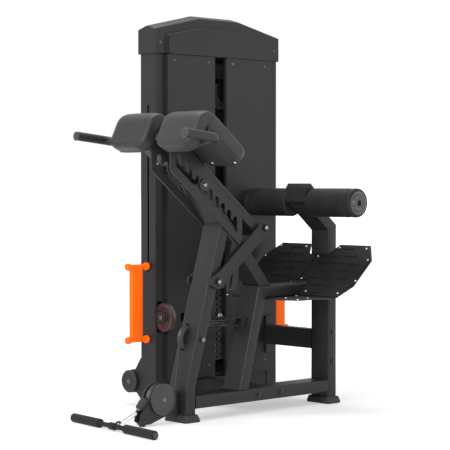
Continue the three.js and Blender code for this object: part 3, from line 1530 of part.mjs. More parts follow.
// Clip: a wire ring drawn as a flat oval, hanging from the ferrule down to the pull bar.
function clip() {
  const start = new THREE.Vector2(clipTop[0], clipTop[1]);
  const end = new THREE.Vector2(barPivotX, barHeightAboveFloor);
  const run = end.clone().sub(start);
  const half = clipWidth / 2 - clipWireRadius;
  const reach = run.length() - clipWireRadius * 2;
  const unit = run.clone().normalize();
  const steps = 6;
  const points = [];
  for (let i = 0; i <= steps; i += 1) {
    const angle = Math.PI / 2 + Math.PI * i / steps;
    points.push([half + half * Math.cos(angle) + clipWireRadius, half * Math.sin(angle)]);
  }
  for (let i = 0; i <= steps; i += 1) {
    const angle = -Math.PI / 2 + Math.PI * i / steps;
    points.push([reach - half + half * Math.cos(angle) + clipWireRadius, half * Math.sin(angle)]);
  }
  return { start, unit, points };
}

// A closed ring of wire through points that lie in a plane with the given face.
function ringOf(middle, radius, facets, ringFace) {
  const count = middle.length;
  const rings = middle.map((point, i) => {
    const run = middle[(i + 1) % count].clone().sub(middle.at(i - 1)).normalize();
    const side = new THREE.Vector3().crossVectors(run, ringFace).normalize();
    return Array.from({ length: facets }, (_, k) => {
      const angle = 2 * Math.PI * k / facets;
      return point.clone().addScaledVector(side, Math.cos(angle) * radius)
        .addScaledVector(ringFace, Math.sin(angle) * radius);
    });
  });
  const vertices = rings.flat();
  const faces = [];
  for (let r = 0; r < count; r += 1) {
    for (let k = 0; k < facets; k += 1) {
      const [a, b] = [r * facets + k, r * facets + (k + 1) % facets];
      const [c, d] = [((r + 1) % count) * facets + k, ((r + 1) % count) * facets + (k + 1) % facets];
      faces.push(a, b, d, a, d, c);
    }
  }
  const geometry = new THREE.BufferGeometry().setFromPoints(vertices);
  geometry.setIndex(faces);
  return facingOut(geometry);
}

function clipPiece() {
  const { start, unit, points } = clip();
  const place = ([along, aside]) => new THREE.Vector3(start.x + unit.x * along, aside,
      start.y + unit.y * along);
  return ringOf(points.map(place), clipWireRadius, wireFacets, new THREE.Vector3(-unit.y, 0, unit.x));
}

// Pull bar: thin middle, two grips with end caps and an eye that is threaded on the clip.
const barCollarRadius = barNeckRadius * 1.5;
const clipUnit = clip().unit;
const barEye = [
  barPivotX - clipUnit.x * clipWireRadius - (barEyeRadius - barEyeWire - clipWireRadius - seam),
  barHeightAboveFloor - clipUnit.y * clipWireRadius,
];
const barX = barEye[0] - barEyeRadius - barCollarRadius;

function pullBarEye() {
  const points = Array.from({ length: roundFacets }, (_, i) => {
    const angle = 2 * Math.PI * i / roundFacets;
    return new THREE.Vector3(barEye[0] - barX + barEyeRadius * Math.cos(angle), 0,
      barEye[1] - barHeightAboveFloor + barEyeRadius * Math.sin(angle));
  });
  return ringOf(points, barEyeWire, wireFacets, yAxis);
}

function pullBar() {
  const half = barSpan / 2;
  const cap = barGripRadius / 3;
  const profile = [[0, -half], [barGripRadius - cap, -half], [barGripRadius, -half + cap],
    [barGripRadius, -half + barGripLength], [barCollarRadius, -half + barGripLength],
    [barNeckRadius, -half + barGripLength + cap], [barNeckRadius, -barGripRadius],
    [barCollarRadius, -barGripRadius]];
  const other = profile.map(([radius, along]) => [radius, -along]).reverse();
  return join([turned([...profile, ...other]).rotateZ(-barSkew), pullBarEye()]);
}

low.add(
  piece('swivel_bracket', swivelBracket(), 'frame'),
  placed(piece('low_pulley', sheave(), 'plastic'), [lowPulleyX, 0, lowPulleyHeight], 'y'),
  piece('ball_stop', ballStop(), 'rubber'),
  piece('carabiner', clipPiece(), 'steel'),
);
const bar = piece('pull_bar', pullBar(), 'foam');
bar.position.set(barX, 0, barHeightAboveFloor);
low.add(bar);

// Transport wheels behind the tower, each in a stirrup on an upright's back
function transportWheel() {
  const half = wheelThickness / 2;
  const shoulder = wheelRadius / 8;
  const side = [[boltRadius + seam, half], [wheelRadius / 3, half], [wheelRadius * 0.7, half - shoulder],
    [wheelRadius - shoulder, half], [wheelRadius, half - shoulder]];
  const other = side.map(([radius, height]) => [radius, -height]).reverse();
  return turned([...side, ...other, side[0]]);
}
const wheelX = towerLeftX + wheelThickness / 2 + wheelBracketWall + runningFit;
const wheelY = towerSetback + towerDepth + wheelSetback;
const farWheelX = 2 * (towerLeftX + towerMiddle) - wheelX;
machine.add(
  placed(piece('transport_wheel_left', transportWheel(), 'rubber'), [wheelX, wheelY, wheelHeight], 'x'),
  placed(piece('transport_wheel_right', transportWheel(), 'rubber'), [farWheelX, wheelY, wheelHeight],
      'x'),
);

// The origin lies at floor level under the middle of the whole machine's box.
machine.updateMatrixWorld(true);
const bounds = new THREE.Box3().setFromObject(machine);
const middle = bounds.getCenter(new THREE.Vector3());
machine.position.set(-middle.x, -middle.y, -bounds.min.z);

export default machine;
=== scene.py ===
import math

import bmesh
import bpy
from mathutils import Matrix, Vector


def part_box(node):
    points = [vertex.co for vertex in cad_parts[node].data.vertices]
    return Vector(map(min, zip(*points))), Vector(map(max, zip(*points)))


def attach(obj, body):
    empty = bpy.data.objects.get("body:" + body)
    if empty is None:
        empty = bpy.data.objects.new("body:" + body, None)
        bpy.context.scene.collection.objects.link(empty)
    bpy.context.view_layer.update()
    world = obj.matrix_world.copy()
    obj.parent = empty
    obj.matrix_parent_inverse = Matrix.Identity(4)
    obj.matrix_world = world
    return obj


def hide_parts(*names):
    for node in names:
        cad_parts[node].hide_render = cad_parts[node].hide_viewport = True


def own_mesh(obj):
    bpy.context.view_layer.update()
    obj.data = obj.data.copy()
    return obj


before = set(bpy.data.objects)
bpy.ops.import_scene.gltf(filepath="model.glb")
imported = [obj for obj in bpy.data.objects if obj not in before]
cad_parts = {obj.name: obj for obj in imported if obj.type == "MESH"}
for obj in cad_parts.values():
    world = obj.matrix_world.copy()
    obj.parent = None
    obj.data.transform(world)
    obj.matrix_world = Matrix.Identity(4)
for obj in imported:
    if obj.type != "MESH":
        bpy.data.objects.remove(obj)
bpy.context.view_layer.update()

# The camera stands to the left and in front of the machine, a little below the pads' height,
# with a long lens. It is placed from the left foot's corner, where the photograph fixes it.
camera_from_foot = Vector((-4.007, -4.485, 0.911))
camera_lens = 128.3
camera_heading = math.radians(43.18)
camera_drop = math.radians(1.536)
camera_data = bpy.data.cameras.new("studio_camera")
camera_data.lens = camera_lens
camera = bpy.data.objects.new("studio_camera", camera_data)
camera.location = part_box("left_foot")[0] + camera_from_foot
camera.rotation_euler = (math.pi / 2 - camera_drop, 0, -camera_heading)
bpy.context.scene.collection.objects.link(camera)
bpy.context.scene.camera = camera

# Studio light: a wide lamp from the upper left, a weak one from the right, a wide one overhead
# and a small one beside the camera that draws the edges. The room lights the machine evenly,
# and the camera and the glossy coats see it as plain white.
room_glow = 0.36
world = bpy.data.worlds.new("white_room")
world.use_nodes = True
room = world.node_tree
room_back = room.nodes["Background"]
room_back.inputs["Color"].default_value = (1, 1, 1, 1)
room_path = room.nodes.new("ShaderNodeLightPath")
room_seen = room.nodes.new("ShaderNodeMath")
room_seen.operation = "MAXIMUM"
room.links.new(room_path.outputs["Is Camera Ray"], room_seen.inputs[0])
room.links.new(room_path.outputs["Is Glossy Ray"], room_seen.inputs[1])
room_level = room.nodes.new("ShaderNodeMapRange")
room_level.inputs["To Min"].default_value = room_glow
room.links.new(room_seen.outputs[0], room_level.inputs["Value"])
room.links.new(room_level.outputs[0], room_back.inputs["Strength"])
bpy.context.scene.world = world
bpy.context.scene.view_settings.view_transform = "Standard"
lamp_aim = Vector((0, 0, 0.8))


def add_lamp(name, place, size, power):
    """A square softbox at a place, turned to face the machine's middle."""
    data = bpy.data.lights.new(name, "AREA")
    data.size = size
    data.energy = power
    lamp = bpy.data.objects.new(name, data)
    lamp.location = place
    lamp.rotation_euler = (lamp_aim - Vector(place)).to_track_quat("-Z", "Y").to_euler()
    bpy.context.scene.collection.objects.link(lamp)


add_lamp("key_softbox", (-3.5, -0.9, 2.8), size=2.4, power=92)
add_lamp("fill_softbox", (2.8, -2.6, 2.2), size=2.0, power=15)
add_lamp("top_softbox", (0.2, 0.6, 4.2), size=2.2, power=92)
add_lamp("edge_softbox", (-2.9, -3.3, 1.7), size=0.6, power=58)

# Studio floor: seamless white card that keeps a soft shadow under the machine. Away from it
# the card is lit through, so that it meets the room without a horizon.
floor_size = 60
card_white = (0.95, 0.95, 0.95, 1)
card_roughness = 0.9
near_glow = 0.3
glow_starts = 0.9
glow_full = 2.4
glow_strength = 1.45
floor_mesh = bmesh.new()
bmesh.ops.create_grid(floor_mesh, x_segments=1, y_segments=1, size=floor_size)
floor_data = bpy.data.meshes.new("studio_floor")
floor_mesh.to_mesh(floor_data)
floor_mesh.free()
floor = bpy.data.objects.new("studio_floor", floor_data)
bpy.context.scene.collection.objects.link(floor)
card = bpy.data.materials.new("white_card")
card.use_nodes = True
card_tree = card.node_tree
card_shader = card_tree.nodes["Principled BSDF"]
card_shader.inputs["Base Color"].default_value = card_white
card_shader.inputs["Roughness"].default_value = card_roughness
card_shader.inputs["Specular IOR Level"].default_value = 0.0
card_glow = card_tree.nodes.new("ShaderNodeEmission")
card_mix = card_tree.nodes.new("ShaderNodeMixShader")
card_glow.inputs["Strength"].default_value = glow_strength
card_place = card_tree.nodes.new("ShaderNodeTexCoord")
card_reach = card_tree.nodes.new("ShaderNodeVectorMath")
card_reach.operation = "LENGTH"
card_share = card_tree.nodes.new("ShaderNodeMapRange")
card_share.interpolation_type = "SMOOTHSTEP"
card_share.inputs["From Min"].default_value = glow_starts
card_share.inputs["From Max"].default_value = glow_full
card_share.inputs["To Min"].default_value = near_glow
card_tree.links.new(card_place.outputs["Object"], card_reach.inputs[0])
card_tree.links.new(card_reach.outputs["Value"], card_share.inputs["Value"])
card_tree.links.new(card_share.outputs[0], card_mix.inputs["Fac"])
card_tree.links.new(card_shader.outputs[0], card_mix.inputs[1])
card_tree.links.new(card_glow.outputs[0], card_mix.inputs[2])
card_tree.links.new(card_mix.outputs[0], card_tree.nodes["Material Output"].inputs["Surface"])
floor_data.materials.append(card)

# Frame tubes, plates and brackets: welded steel under a satin black powder coat. Each is the
# CAD solid with its edges eased, as the coat rounds them, and a fine orange peel in the coat.
weld_reach = 0.00001
flat_angle = 0.5
peel_height = 0.0004
mask_low = 0.3
mask_high = 0.7


def socket_group(name, inputs, outputs):
    """An empty shader group with named sockets: (label, kind, value) in, (label, kind) out."""
    group = bpy.data.node_groups.new(name, "ShaderNodeTree")
    for label, kind, value in inputs:
        made = group.interface.new_socket(label, in_out="INPUT", socket_type=kind)
        if value is not None:
            made.default_value = value
    for label, kind in outputs:
        group.interface.new_socket(label, in_out="OUTPUT", socket_type=kind)
    return group, group.nodes.new("NodeGroupInput"), group.nodes.new("NodeGroupOutput")


# Grain group: a fine grain for the bump, and a broad mottle for tone and gloss.
grain_group, grain_in, grain_out = socket_group(
    "grain_and_mottle",
    [
        ("Place", "NodeSocketVector", None),
        ("Grain", "NodeSocketFloat", 420.0),
        ("Mottle", "NodeSocketFloat", 5.0),
    ],
    [("Height", "NodeSocketFloat"), ("Mask", "NodeSocketFloat")],
)
for label, output, detail in (("Grain", "Height", 2.0), ("Mottle", "Mask", 4.0)):
    noise = grain_group.nodes.new("ShaderNodeTexNoise")
    noise.inputs["Detail"].default_value = detail
    grain_group.links.new(grain_in.outputs["Place"], noise.inputs["Vector"])
    grain_group.links.new(grain_in.outputs[label], noise.inputs["Scale"])
    spread = grain_group.nodes.new("ShaderNodeMapRange")
    spread.inputs["From Min"].default_value = mask_low
    spread.inputs["From Max"].default_value = mask_high
    grain_group.links.new(noise.outputs["Fac"], spread.inputs["Value"])
    grain_group.links.new(spread.outputs[0], grain_out.inputs[output])


def grained(name, dark, light, gloss, grain, depth, mottle=5.0, **plain):
    """A finish whose tone and roughness drift with the mottle, and whose bump is the grain."""
    material = bpy.data.materials.new(name)
    material.use_nodes = True
    tree = material.node_tree
    shader = tree.nodes["Principled BSDF"]
    for label, value in plain.items():
        shader.inputs[label.replace("_", " ")].default_value = value
    place = tree.nodes.new("ShaderNodeTexCoord")
    group = tree.nodes.new("ShaderNodeGroup")
    group.node_tree = grain_group
    group.inputs["Grain"].default_value = grain
    group.inputs["Mottle"].default_value = mottle
    tree.links.new(place.outputs["Object"], group.inputs["Place"])
    tone = tree.nodes.new("ShaderNodeMix")
    tone.data_type = "RGBA"
    tone.inputs["A"].default_value = (*dark, 1)
    tone.inputs["B"].default_value = (*light, 1)
    tree.links.new(group.outputs["Mask"], tone.inputs["Factor"])
    tree.links.new(tone.outputs["Result"], shader.inputs["Base Color"])
    rough = tree.nodes.new("ShaderNodeMapRange")
    rough.inputs["To Min"].default_value = gloss[0]
    rough.inputs["To Max"].default_value = gloss[1]
    tree.links.new(group.outputs["Mask"], rough.inputs["Value"])
    tree.links.new(rough.outputs[0], shader.inputs["Roughness"])
    bump = tree.nodes.new("ShaderNodeBump")
    bump.inputs["Strength"].default_value = depth
    bump.inputs["Distance"].default_value = peel_height
    tree.links.new(group.outputs["Height"], bump.inputs["Height"])
    tree.links.new(bump.outputs[0], shader.inputs["Normal"])
    return material


def fit_out(piece, body, slot, material, *nodes):
    """Gives a piece its finish, lets it ride on a body and stand for CAD nodes."""
    piece.data.materials.clear()
    piece.data.materials.append(material)
    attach(piece, body)
    if nodes:
        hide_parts(*nodes)
    return piece


def linked(name, shape, smooth_angle=180):
    """An object at the origin from a bmesh, shaded smooth but for the edges past an angle."""
    data = bpy.data.meshes.new(name)
    shape.to_mesh(data)
    shape.free()
    data.polygons.foreach_set("use_smooth", [True] * len(data.polygons))
    data.set_sharp_from_angle(angle=math.radians(smooth_angle))
    piece = bpy.data.objects.new(name, data)
    bpy.context.scene.collection.objects.link(piece)
    return piece


def eased(node, name, edge, segments=2, angle=35):
    """A CAD solid, its loose triangles joined into flat faces and its sharp edges rounded."""
    shape = bmesh.new()
    shape.from_mesh(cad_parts[node].data)
    bmesh.ops.remove_doubles(shape, verts=shape.verts, dist=weld_reach)
    bmesh.ops.dissolve_limit(
        shape, angle_limit=math.radians(flat_angle), verts=shape.verts, edges=shape.edges
    )
    piece = linked(name, shape, angle)
    round_over = piece.modifiers.new("eased_edges", "BEVEL")
    round_over.width = edge
    round_over.segments = segments
    round_over.limit_method = "ANGLE"
    round_over.angle_limit = math.radians(angle)
    round_over.harden_normals = True
    return piece


frame_coat = grained(
    "satin_black_coat", (0.014, 0.014, 0.0145), (0.021, 0.021, 0.0215),
    gloss=(0.4, 0.52), grain=520, depth=0.25, Specular_IOR_Level=0.28,
)
# Each node with the body it rides on and the width of its eased edges.
coated_steel = {
    "base_rail": ("root", 0.0024),
    "left_leg": ("root", 0.0024),
    "middle_leg": ("root", 0.0024),
    "footplate_beam": ("root", 0.0024),
    "spine_tube": ("root", 0.0024),
    "roller_post": ("root", 0.0034),
    "upper_tie": ("root", 0.0024),
    "lower_tie": ("root", 0.0024),
    "footplate": ("root", 0.0018),
    "transfer_bracket": ("root", 0.0008),
    "carriage_beam": ("carriage", 0.002),
    "comb_plate_far": ("carriage", 0.0014),
    "comb_plate_near": ("carriage", 0.0014),
    "link_bar_far": ("links", 0.002),
    "link_bar_near": ("links", 0.002),
    "swivel_bracket": ("swivel", 0.0008),
}
for node, (body, edge) in coated_steel.items():
    fit_out(eased(node, node + "_coated", edge), body, "frame_coat", frame_coat, node)

# Frame bolts: hexagon bolts of black oxide steel on washers, two in the user's face of the
# base rail and two in that of the roller post. They clamp the frame's tubes to each other.
frame_bolt_radius = 0.0095
rail_bolt_places = (0.331, 0.454)
post_bolt_inset = 0.025
post_bolt_heights = (0.173, 0.293)
washer_spread = 1.55
washer_share = 0.22
head_share = 0.65
head_bevel = 0.12
facing = 0.9


def turned_to(axis, centre):
    """The matrix that stands a shape drawn along +Z on a place, pointing along an axis."""
    return Matrix.Translation(centre) @ Vector(axis).to_track_quat("Z", "Y").to_matrix().to_4x4()


def add_disc(shape, centre, axis, radius, thickness, segments=28, chamfer=0.0006):
    """A round or many-sided plug that stands on a face, its outer rim chamfered."""
    made = bmesh.ops.create_cone(
        shape,
        cap_ends=True,
        segments=segments,
        radius1=radius,
        radius2=radius,
        depth=thickness,
        matrix=turned_to(axis, Vector(centre) + Vector(axis) * thickness / 2),
    )
    faces = {face for vert in made["verts"] for face in vert.link_faces}
    top = [face for face in faces if face.normal.dot(Vector(axis)) > facing]
    rim = {edge for face in top for edge in face.edges}
    bmesh.ops.bevel(
        shape, geom=list(rim), offset=chamfer, affect="EDGES", segments=2, profile=0.5, material=-1
    )


def bolt_group(name, bolts, finish, body="root"):
    """One piece of several hexagon heads on washers: (centre, axis, head radius) each."""
    shape = bmesh.new()
    for centre, axis, radius in bolts:
        seat = Vector(centre)
        add_disc(shape, seat, axis, radius * washer_spread, radius * washer_share)
        seat = seat + Vector(axis) * radius * washer_share
        add_disc(shape, seat, axis, radius, radius * head_share, 6, radius * head_bevel)
    return fit_out(linked(name, shape, 30), body, "bright_steel", finish)


black_oxide = grained(
    "black_oxide", (0.03, 0.03, 0.031), (0.06, 0.06, 0.061),
    gloss=(0.28, 0.4), grain=300, depth=0.12, mottle=60, Metallic=0.8,
)
toward_user = Vector((0, -1, 0))
rail_low, rail_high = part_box("base_rail")
post_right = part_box("roller_post")[1].x
rail_level = (rail_low.z + rail_high.z) / 2
frame_bolt_seats = [(rail_low.x + place, rail_low.y, rail_level) for place in rail_bolt_places]
frame_bolt_seats += [
    (post_right - post_bolt_inset, rail_low.y, height) for height in post_bolt_heights
]
bolt_group(
    "frame_bolts",
    [(seat, toward_user, frame_bolt_radius) for seat in frame_bolt_seats],
    black_oxide,
)

# Rubber shoes: moulded feet under the left leg and the roller post, pushed onto the tubes and
# flared at the floor.
flare_edge = 0.007
shoe_rubber = grained(
    "shoe_rubber", (0.014, 0.014, 0.014), (0.024, 0.024, 0.024),
    gloss=(0.6, 0.75), grain=350, depth=0.35,
)
for node in ("left_foot", "right_foot"):
    shoe = eased(node, node + "_shoe", flare_edge, segments=4)
    fit_out(shoe, "root", "rubber", shoe_rubber, node)

# Pins: a dark steel bar through the notches and one through each end of the link bars. Each is
# held by a small domed head of brighter steel on both sides.
pin_edge = 0.0015
toward_tower = Vector((0, 1, 0))
pin_steel = grained(
    "pin_steel", (0.24, 0.24, 0.245), (0.42, 0.42, 0.43),
    gloss=(0.25, 0.38), grain=240, depth=0.12, mottle=40, Metallic=1,
)
dark_steel = grained(
    "dark_steel", (0.03, 0.03, 0.03), (0.055, 0.055, 0.055),
    gloss=(0.32, 0.45), grain=200, depth=0.1, Metallic=0.9,
)


def add_dome(shape, centre, axis, radius, rise=0.6):
    """A dome head: a ball flattened to a share of its height, half sunk in a face."""
    made = bmesh.ops.create_uvsphere(shape, u_segments=20, v_segments=12, radius=radius)
    bmesh.ops.scale(shape, verts=made["verts"], vec=(1, 1, rise))
    bmesh.ops.transform(shape, verts=made["verts"], matrix=turned_to(axis, centre))


def middle_of(node):
    """The middle of a CAD node's box at rest."""
    low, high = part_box(node)
    return (low + high) / 2


for node, body, dome_radius in (
    ("cross_pin", "root", 0.0085),
    ("link_foot_pin", "root", 0.008),
    ("link_head_pin", "links", 0.008),
):
    fit_out(eased(node, node + "_turned", pin_edge), body, "bright_steel", dark_steel, node)
    centre = middle_of(node)
    pin_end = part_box(node)[1].y - centre.y - pin_edge
    shape = bmesh.new()
    for side in (toward_user, toward_tower):
        add_dome(shape, centre + side * pin_end, side, dome_radius)
    fit_out(linked(node + "_heads", shape, 60), body, "bright_steel", pin_steel)

# Footplate mats: two moulded rubber sheets with staggered raised bars. They are glued on the
# footplate, and bolts along their rim hold them down.
mat_edge = 0.0008
mat_rubber = grained(
    "mat_rubber", (0.009, 0.009, 0.009), (0.015, 0.015, 0.015),
    gloss=(0.5, 0.65), grain=500, depth=0.4, Specular_IOR_Level=0.14,
)
for node in ("footplate_mat_far", "footplate_mat_near"):
    fit_out(eased(node, node + "_rubber", mat_edge), "root", "rubber", mat_rubber, node)

# Footplate bolts: bright domed heads through the mats, in pairs along the rim of the slope and
# of the level front, with two near the slope's middle line. Places are measured from the bend
# and from the plate's middle line.
plate_low, plate_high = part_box("footplate")
plate_tilt = math.radians(42.3)
plate_thickness = 0.006
mat_thickness = 0.004
bend_from_front = 0.176
rim_bolt_radius = 0.005
rim_places = [
    (0.278, 0.241), (0.278, 0.094), (0.215, 0.289), (0.098, 0.301), (0.026, 0.256), (0.026, 0.082),
]
middle_places = [(0.095, -0.0095), (0.226, -0.0095)]
front_places = [(0.025, 0.2), (0.112, 0.17), (0.06, 0.1)]
bright_dome = grained(
    "bright_dome", (0.5, 0.5, 0.5), (0.65, 0.65, 0.65),
    gloss=(0.3, 0.4), grain=200, depth=0.05, Metallic=0.6,
)
plate_run = Vector((math.cos(plate_tilt), 0, math.sin(plate_tilt)))
plate_up = Vector((-math.sin(plate_tilt), 0, math.cos(plate_tilt)))
plate_middle = (plate_low.y + plate_high.y) / 2
plate_bend = Vector((plate_low.x + bend_from_front, plate_middle, plate_low.z + plate_thickness))
shape = bmesh.new()
slope_places = [(along, across * side) for along, across in rim_places for side in (-1, 1)]
for along, across in slope_places + middle_places:
    seat = plate_bend + plate_run * along + plate_up * mat_thickness + toward_tower * across
    add_dome(shape, seat, plate_up, rim_bolt_radius)
for along, across in front_places:
    for side in (-1, 1):
        seat = plate_bend + toward_tower * across * side
        seat.x = plate_low.x + along
        add_dome(shape, seat, (0, 0, 1), rim_bolt_radius)
fit_out(linked("footplate_bolts", shape, 60), "root", "bright_steel", bright_dome)

# Hip pads: two foam cushions in black vinyl, each a slab on the carriage's slope with an arm
# folded down over its head. They are crowned, drawn in at the sides and puckered at the fold,
# and a vinyl welt is sewn round the face.
crease_width = 0.25
pebble_depth = 0.25
pebble_height = 0.0003
vinyl_group, vinyl_in, vinyl_out = socket_group(
    "vinyl_grain",
    [("Place", "NodeSocketVector", None), ("Pebble", "NodeSocketFloat", 700.0)],
    [("Height", "NodeSocketFloat")],
)
pebbles = vinyl_group.nodes.new("ShaderNodeTexVoronoi")
pebbles.feature = "DISTANCE_TO_EDGE"
vinyl_group.links.new(vinyl_in.outputs["Place"], pebbles.inputs["Vector"])
vinyl_group.links.new(vinyl_in.outputs["Pebble"], pebbles.inputs["Scale"])
crease = vinyl_group.nodes.new("ShaderNodeMapRange")
crease.inputs["From Max"].default_value = crease_width
vinyl_group.links.new(pebbles.outputs["Distance"], crease.inputs["Value"])
vinyl_group.links.new(crease.outputs[0], vinyl_out.inputs["Height"])

vinyl = grained(
    "black_vinyl", (0.021, 0.021, 0.0215), (0.032, 0.032, 0.0325),
    gloss=(0.4, 0.52), grain=180, depth=0.2, Specular_IOR_Level=0.28,
)
vinyl_tree = vinyl.node_tree
vinyl_pebbles = vinyl_tree.nodes.new("ShaderNodeGroup")
vinyl_pebbles.node_tree = vinyl_group
vinyl_place = vinyl_tree.nodes["Texture Coordinate"]
vinyl_tree.links.new(vinyl_place.outputs["Object"], vinyl_pebbles.inputs["Place"])
vinyl_bump = vinyl_tree.nodes.new("ShaderNodeBump")
vinyl_bump.inputs["Strength"].default_value = pebble_depth
vinyl_bump.inputs["Distance"].default_value = pebble_height
vinyl_tree.links.new(vinyl_pebbles.outputs[0], vinyl_bump.inputs["Height"])
vinyl_tree.links.new(vinyl_tree.nodes["Bump"].outputs[0], vinyl_bump.inputs["Normal"])
vinyl_tree.links.new(vinyl_bump.outputs[0], vinyl_tree.nodes["Principled BSDF"].inputs["Normal"])

pad_width = 0.206
pad_middle = 0.134
pad_base = 0.0076
pad_crown = 0.008
slope = math.radians(39)
slab_thickness = 0.065
slab_end = 0.37
slab_steps = 40
fold_reach = 0.628
fold_above = 0.021
fold_round = 0.046
fold_steps = 40
arm_tilt = math.radians(63.7)
arm_thickness = 0.056
arm_length = 0.131
arm_back = 0.023
arm_steps = 30
carriage_pivot = middle_of("link_head_pin")


def on_slope(along, above):
    """A place on the carriage's slope in the XZ plane, from the upper link pin."""
    return Vector(
        (
            carriage_pivot.x + math.cos(slope) * along + math.sin(slope) * above,
            carriage_pivot.z - math.sin(slope) * along + math.cos(slope) * above,
        )
    )


def crossing(start, run, other, other_run):
    """Where two lines of the XZ plane meet."""
    gap = other - start
    turn = run.x * other_run.y - run.y * other_run.x
    return start + run * ((gap.x * other_run.y - gap.y * other_run.x) / turn)


# The middle line of a pad in the XZ plane: up the slab, round the fold and down the arm.
arm_run = Vector((-math.cos(arm_tilt), -math.sin(arm_tilt)))
arm_out = Vector((-math.sin(arm_tilt), math.cos(arm_tilt)))
slope_up = on_slope(-1, 0) - on_slope(0, 0)
slab_start = on_slope(-slab_end, pad_base + slab_thickness / 2)
solid_fold = on_slope(-fold_reach, pad_base + fold_above)
arm_start = solid_fold + arm_out * (arm_thickness / 2 - arm_back)
arm_end = arm_start + arm_run * arm_length
fold = crossing(slab_start, slope_up, arm_start, arm_run)
before_fold = fold + (slab_start - fold).normalized() * fold_round
after_fold = fold + (arm_end - fold).normalized() * fold_round
path = [slab_start.lerp(before_fold, step / slab_steps) for step in range(slab_steps)]
for step in range(fold_steps + 1):
    share = step / fold_steps
    path.append(before_fold.lerp(fold, share).lerp(fold.lerp(after_fold, share), share))
path += [after_fold.lerp(arm_end, step / arm_steps) for step in range(1, arm_steps + 1)]
reaches = [0.0]
for start, stop in zip(path, path[1:]):
    reaches.append(reaches[-1] + (stop - start).length)
pad_length = reaches[-1]
fold_station = reaches[slab_steps + fold_steps // 2]

pad_stations = 44
section_points = 32
corner_round = 0.05
corner_share = 0.95
end_round = 0.02
end_depth = 0.55
end_swell = 0.45
end_insets = (0.35, 0.8)
end_draw = 0.012
side_fullness = 0.3
face_fullness = 0.42
pucker_pitch = 0.011
pucker_depth = 0.0016
pucker_spread = 0.03


def pad_point(reach):
    """Middle-line place and direction at a reach from the slab's end."""
    number = max(index for index, value in enumerate(reaches[:-1]) if value <= reach)
    run = (path[number + 1] - path[number]).normalized()
    return path[number] + run * (reach - reaches[number]), run


def pad_section(reach, inset=1.0):
    """One section of the cushion, square to its middle line, as points once round it."""
    place, run = pad_point(reach)
    aside = Vector((run.y, -run.x))
    to_end = min(reach, pad_length - reach)
    past_fold = reach - fold_station
    corner = max(0, 1 - to_end / corner_round)
    width = pad_width - 2 * corner_round * (1 - math.sqrt(1 - corner**2)) * corner_share
    half = width / 2 - end_draw * (1 - inset)
    edge = max(0, 1 - to_end / end_round)
    down_arm = min(1, max(0, (past_fold + fold_round) / (2 * fold_round)))
    depth = slab_thickness + (arm_thickness - slab_thickness) * down_arm
    thick = depth * (end_depth + end_swell * math.sqrt(1 - edge**2)) * inset
    pucker = math.exp(-((past_fold / pucker_spread) ** 2))
    pucker = pucker * math.cos(math.tau * past_fold / pucker_pitch)
    section = []
    for number in range(section_points + 1):
        angle = math.tau * (number + 0.5) / section_points
        across, above = math.cos(angle), math.sin(angle)
        draw = pucker_depth * pucker * abs(across) ** 3
        out = half * math.copysign(abs(across) ** side_fullness, across)
        height = thick / 2 * math.copysign(abs(above) ** face_fullness, above)
        if above > 0:
            height = height + pad_crown * (1 - across**2) * inset - draw
        spot = place + aside * -height
        section.append(Vector((spot.x, out + draw * math.copysign(1, across), spot.y)))
    return section


def beside(spot, outward):
    """A point of a section, moved out to the pad on one side of the carriage."""
    return Vector((spot.x, carriage_pivot.y + outward * (pad_middle + spot.y), spot.z))


piping_radius = 0.0022
piping_steps = 90
piping_inset = 0.001
piping_points = (3, section_points // 2 - 4)
stations = [(0.0, inset) for inset in end_insets]
for step in range(pad_stations + 1):
    stations.append(((1 - math.cos(math.pi * step / pad_stations)) / 2 * pad_length, 1.0))
stations += [(pad_length, inset) for inset in reversed(end_insets)]
skin = [spot for station in stations for spot in pad_section(*station)]
shares = [step / piping_steps for step in range(piping_steps + 1)]
piping_line = [(share, piping_points[0]) for share in shares]
piping_line += [(1 - share, piping_points[1]) for share in shares]
piping_run = pad_length - 2 * piping_inset
border = [pad_section(piping_inset + share * piping_run)[point] for share, point in piping_line]
for side, outward in (("far", 1), ("near", -1)):
    node = "hip_pad_" + side
    cushion = bmesh.new()
    sheet = bmesh.ops.create_grid(
        cushion, x_segments=section_points, y_segments=len(stations) - 1, size=1
    )["verts"]
    for vert, spot in zip(sheet, skin):
        vert.co = beside(spot, outward)
    bmesh.ops.remove_doubles(cushion, verts=cushion.verts, dist=weld_reach)
    ends = [edge for edge in cushion.edges if edge.is_boundary]
    bmesh.ops.holes_fill(cushion, edges=ends)
    bmesh.ops.recalc_face_normals(cushion, faces=cushion.faces)
    pad = linked(node + "_vinyl", cushion)
    fullness = pad.modifiers.new("fullness", "SUBSURF")
    fullness.levels = 2
    fullness.render_levels = 2
    fit_out(pad, "carriage", "vinyl", vinyl, node)

    # Piping: the welt is a round cord under vinyl that follows both borders of the face.
    spots = [beside(spot, outward) for spot in border]
    curve = bpy.data.curves.new(node + "_piping", "CURVE")
    curve.dimensions = "3D"
    curve.bevel_depth = piping_radius
    curve.bevel_resolution = 2
    line = curve.splines.new("POLY")
    line.points.add(len(spots) - 1)
    line.points.foreach_set("co", [value for spot in spots for value in (*spot, 1)])
    line.use_cyclic_u = True
    drawn = bpy.data.objects.new(node + "_piping_curve", curve)
    bpy.context.scene.collection.objects.link(drawn)
    bpy.context.view_layer.update()
    solid = drawn.evaluated_get(bpy.context.evaluated_depsgraph_get())
    welt_data = bpy.data.meshes.new_from_object(solid)
    bpy.data.objects.remove(drawn)
    welt_data.polygons.foreach_set("use_smooth", [True] * len(welt_data.polygons))
    welt = bpy.data.objects.new(node + "_piping", welt_data)
    bpy.context.scene.collection.objects.link(welt)
    fit_out(welt, "carriage", "vinyl", vinyl)

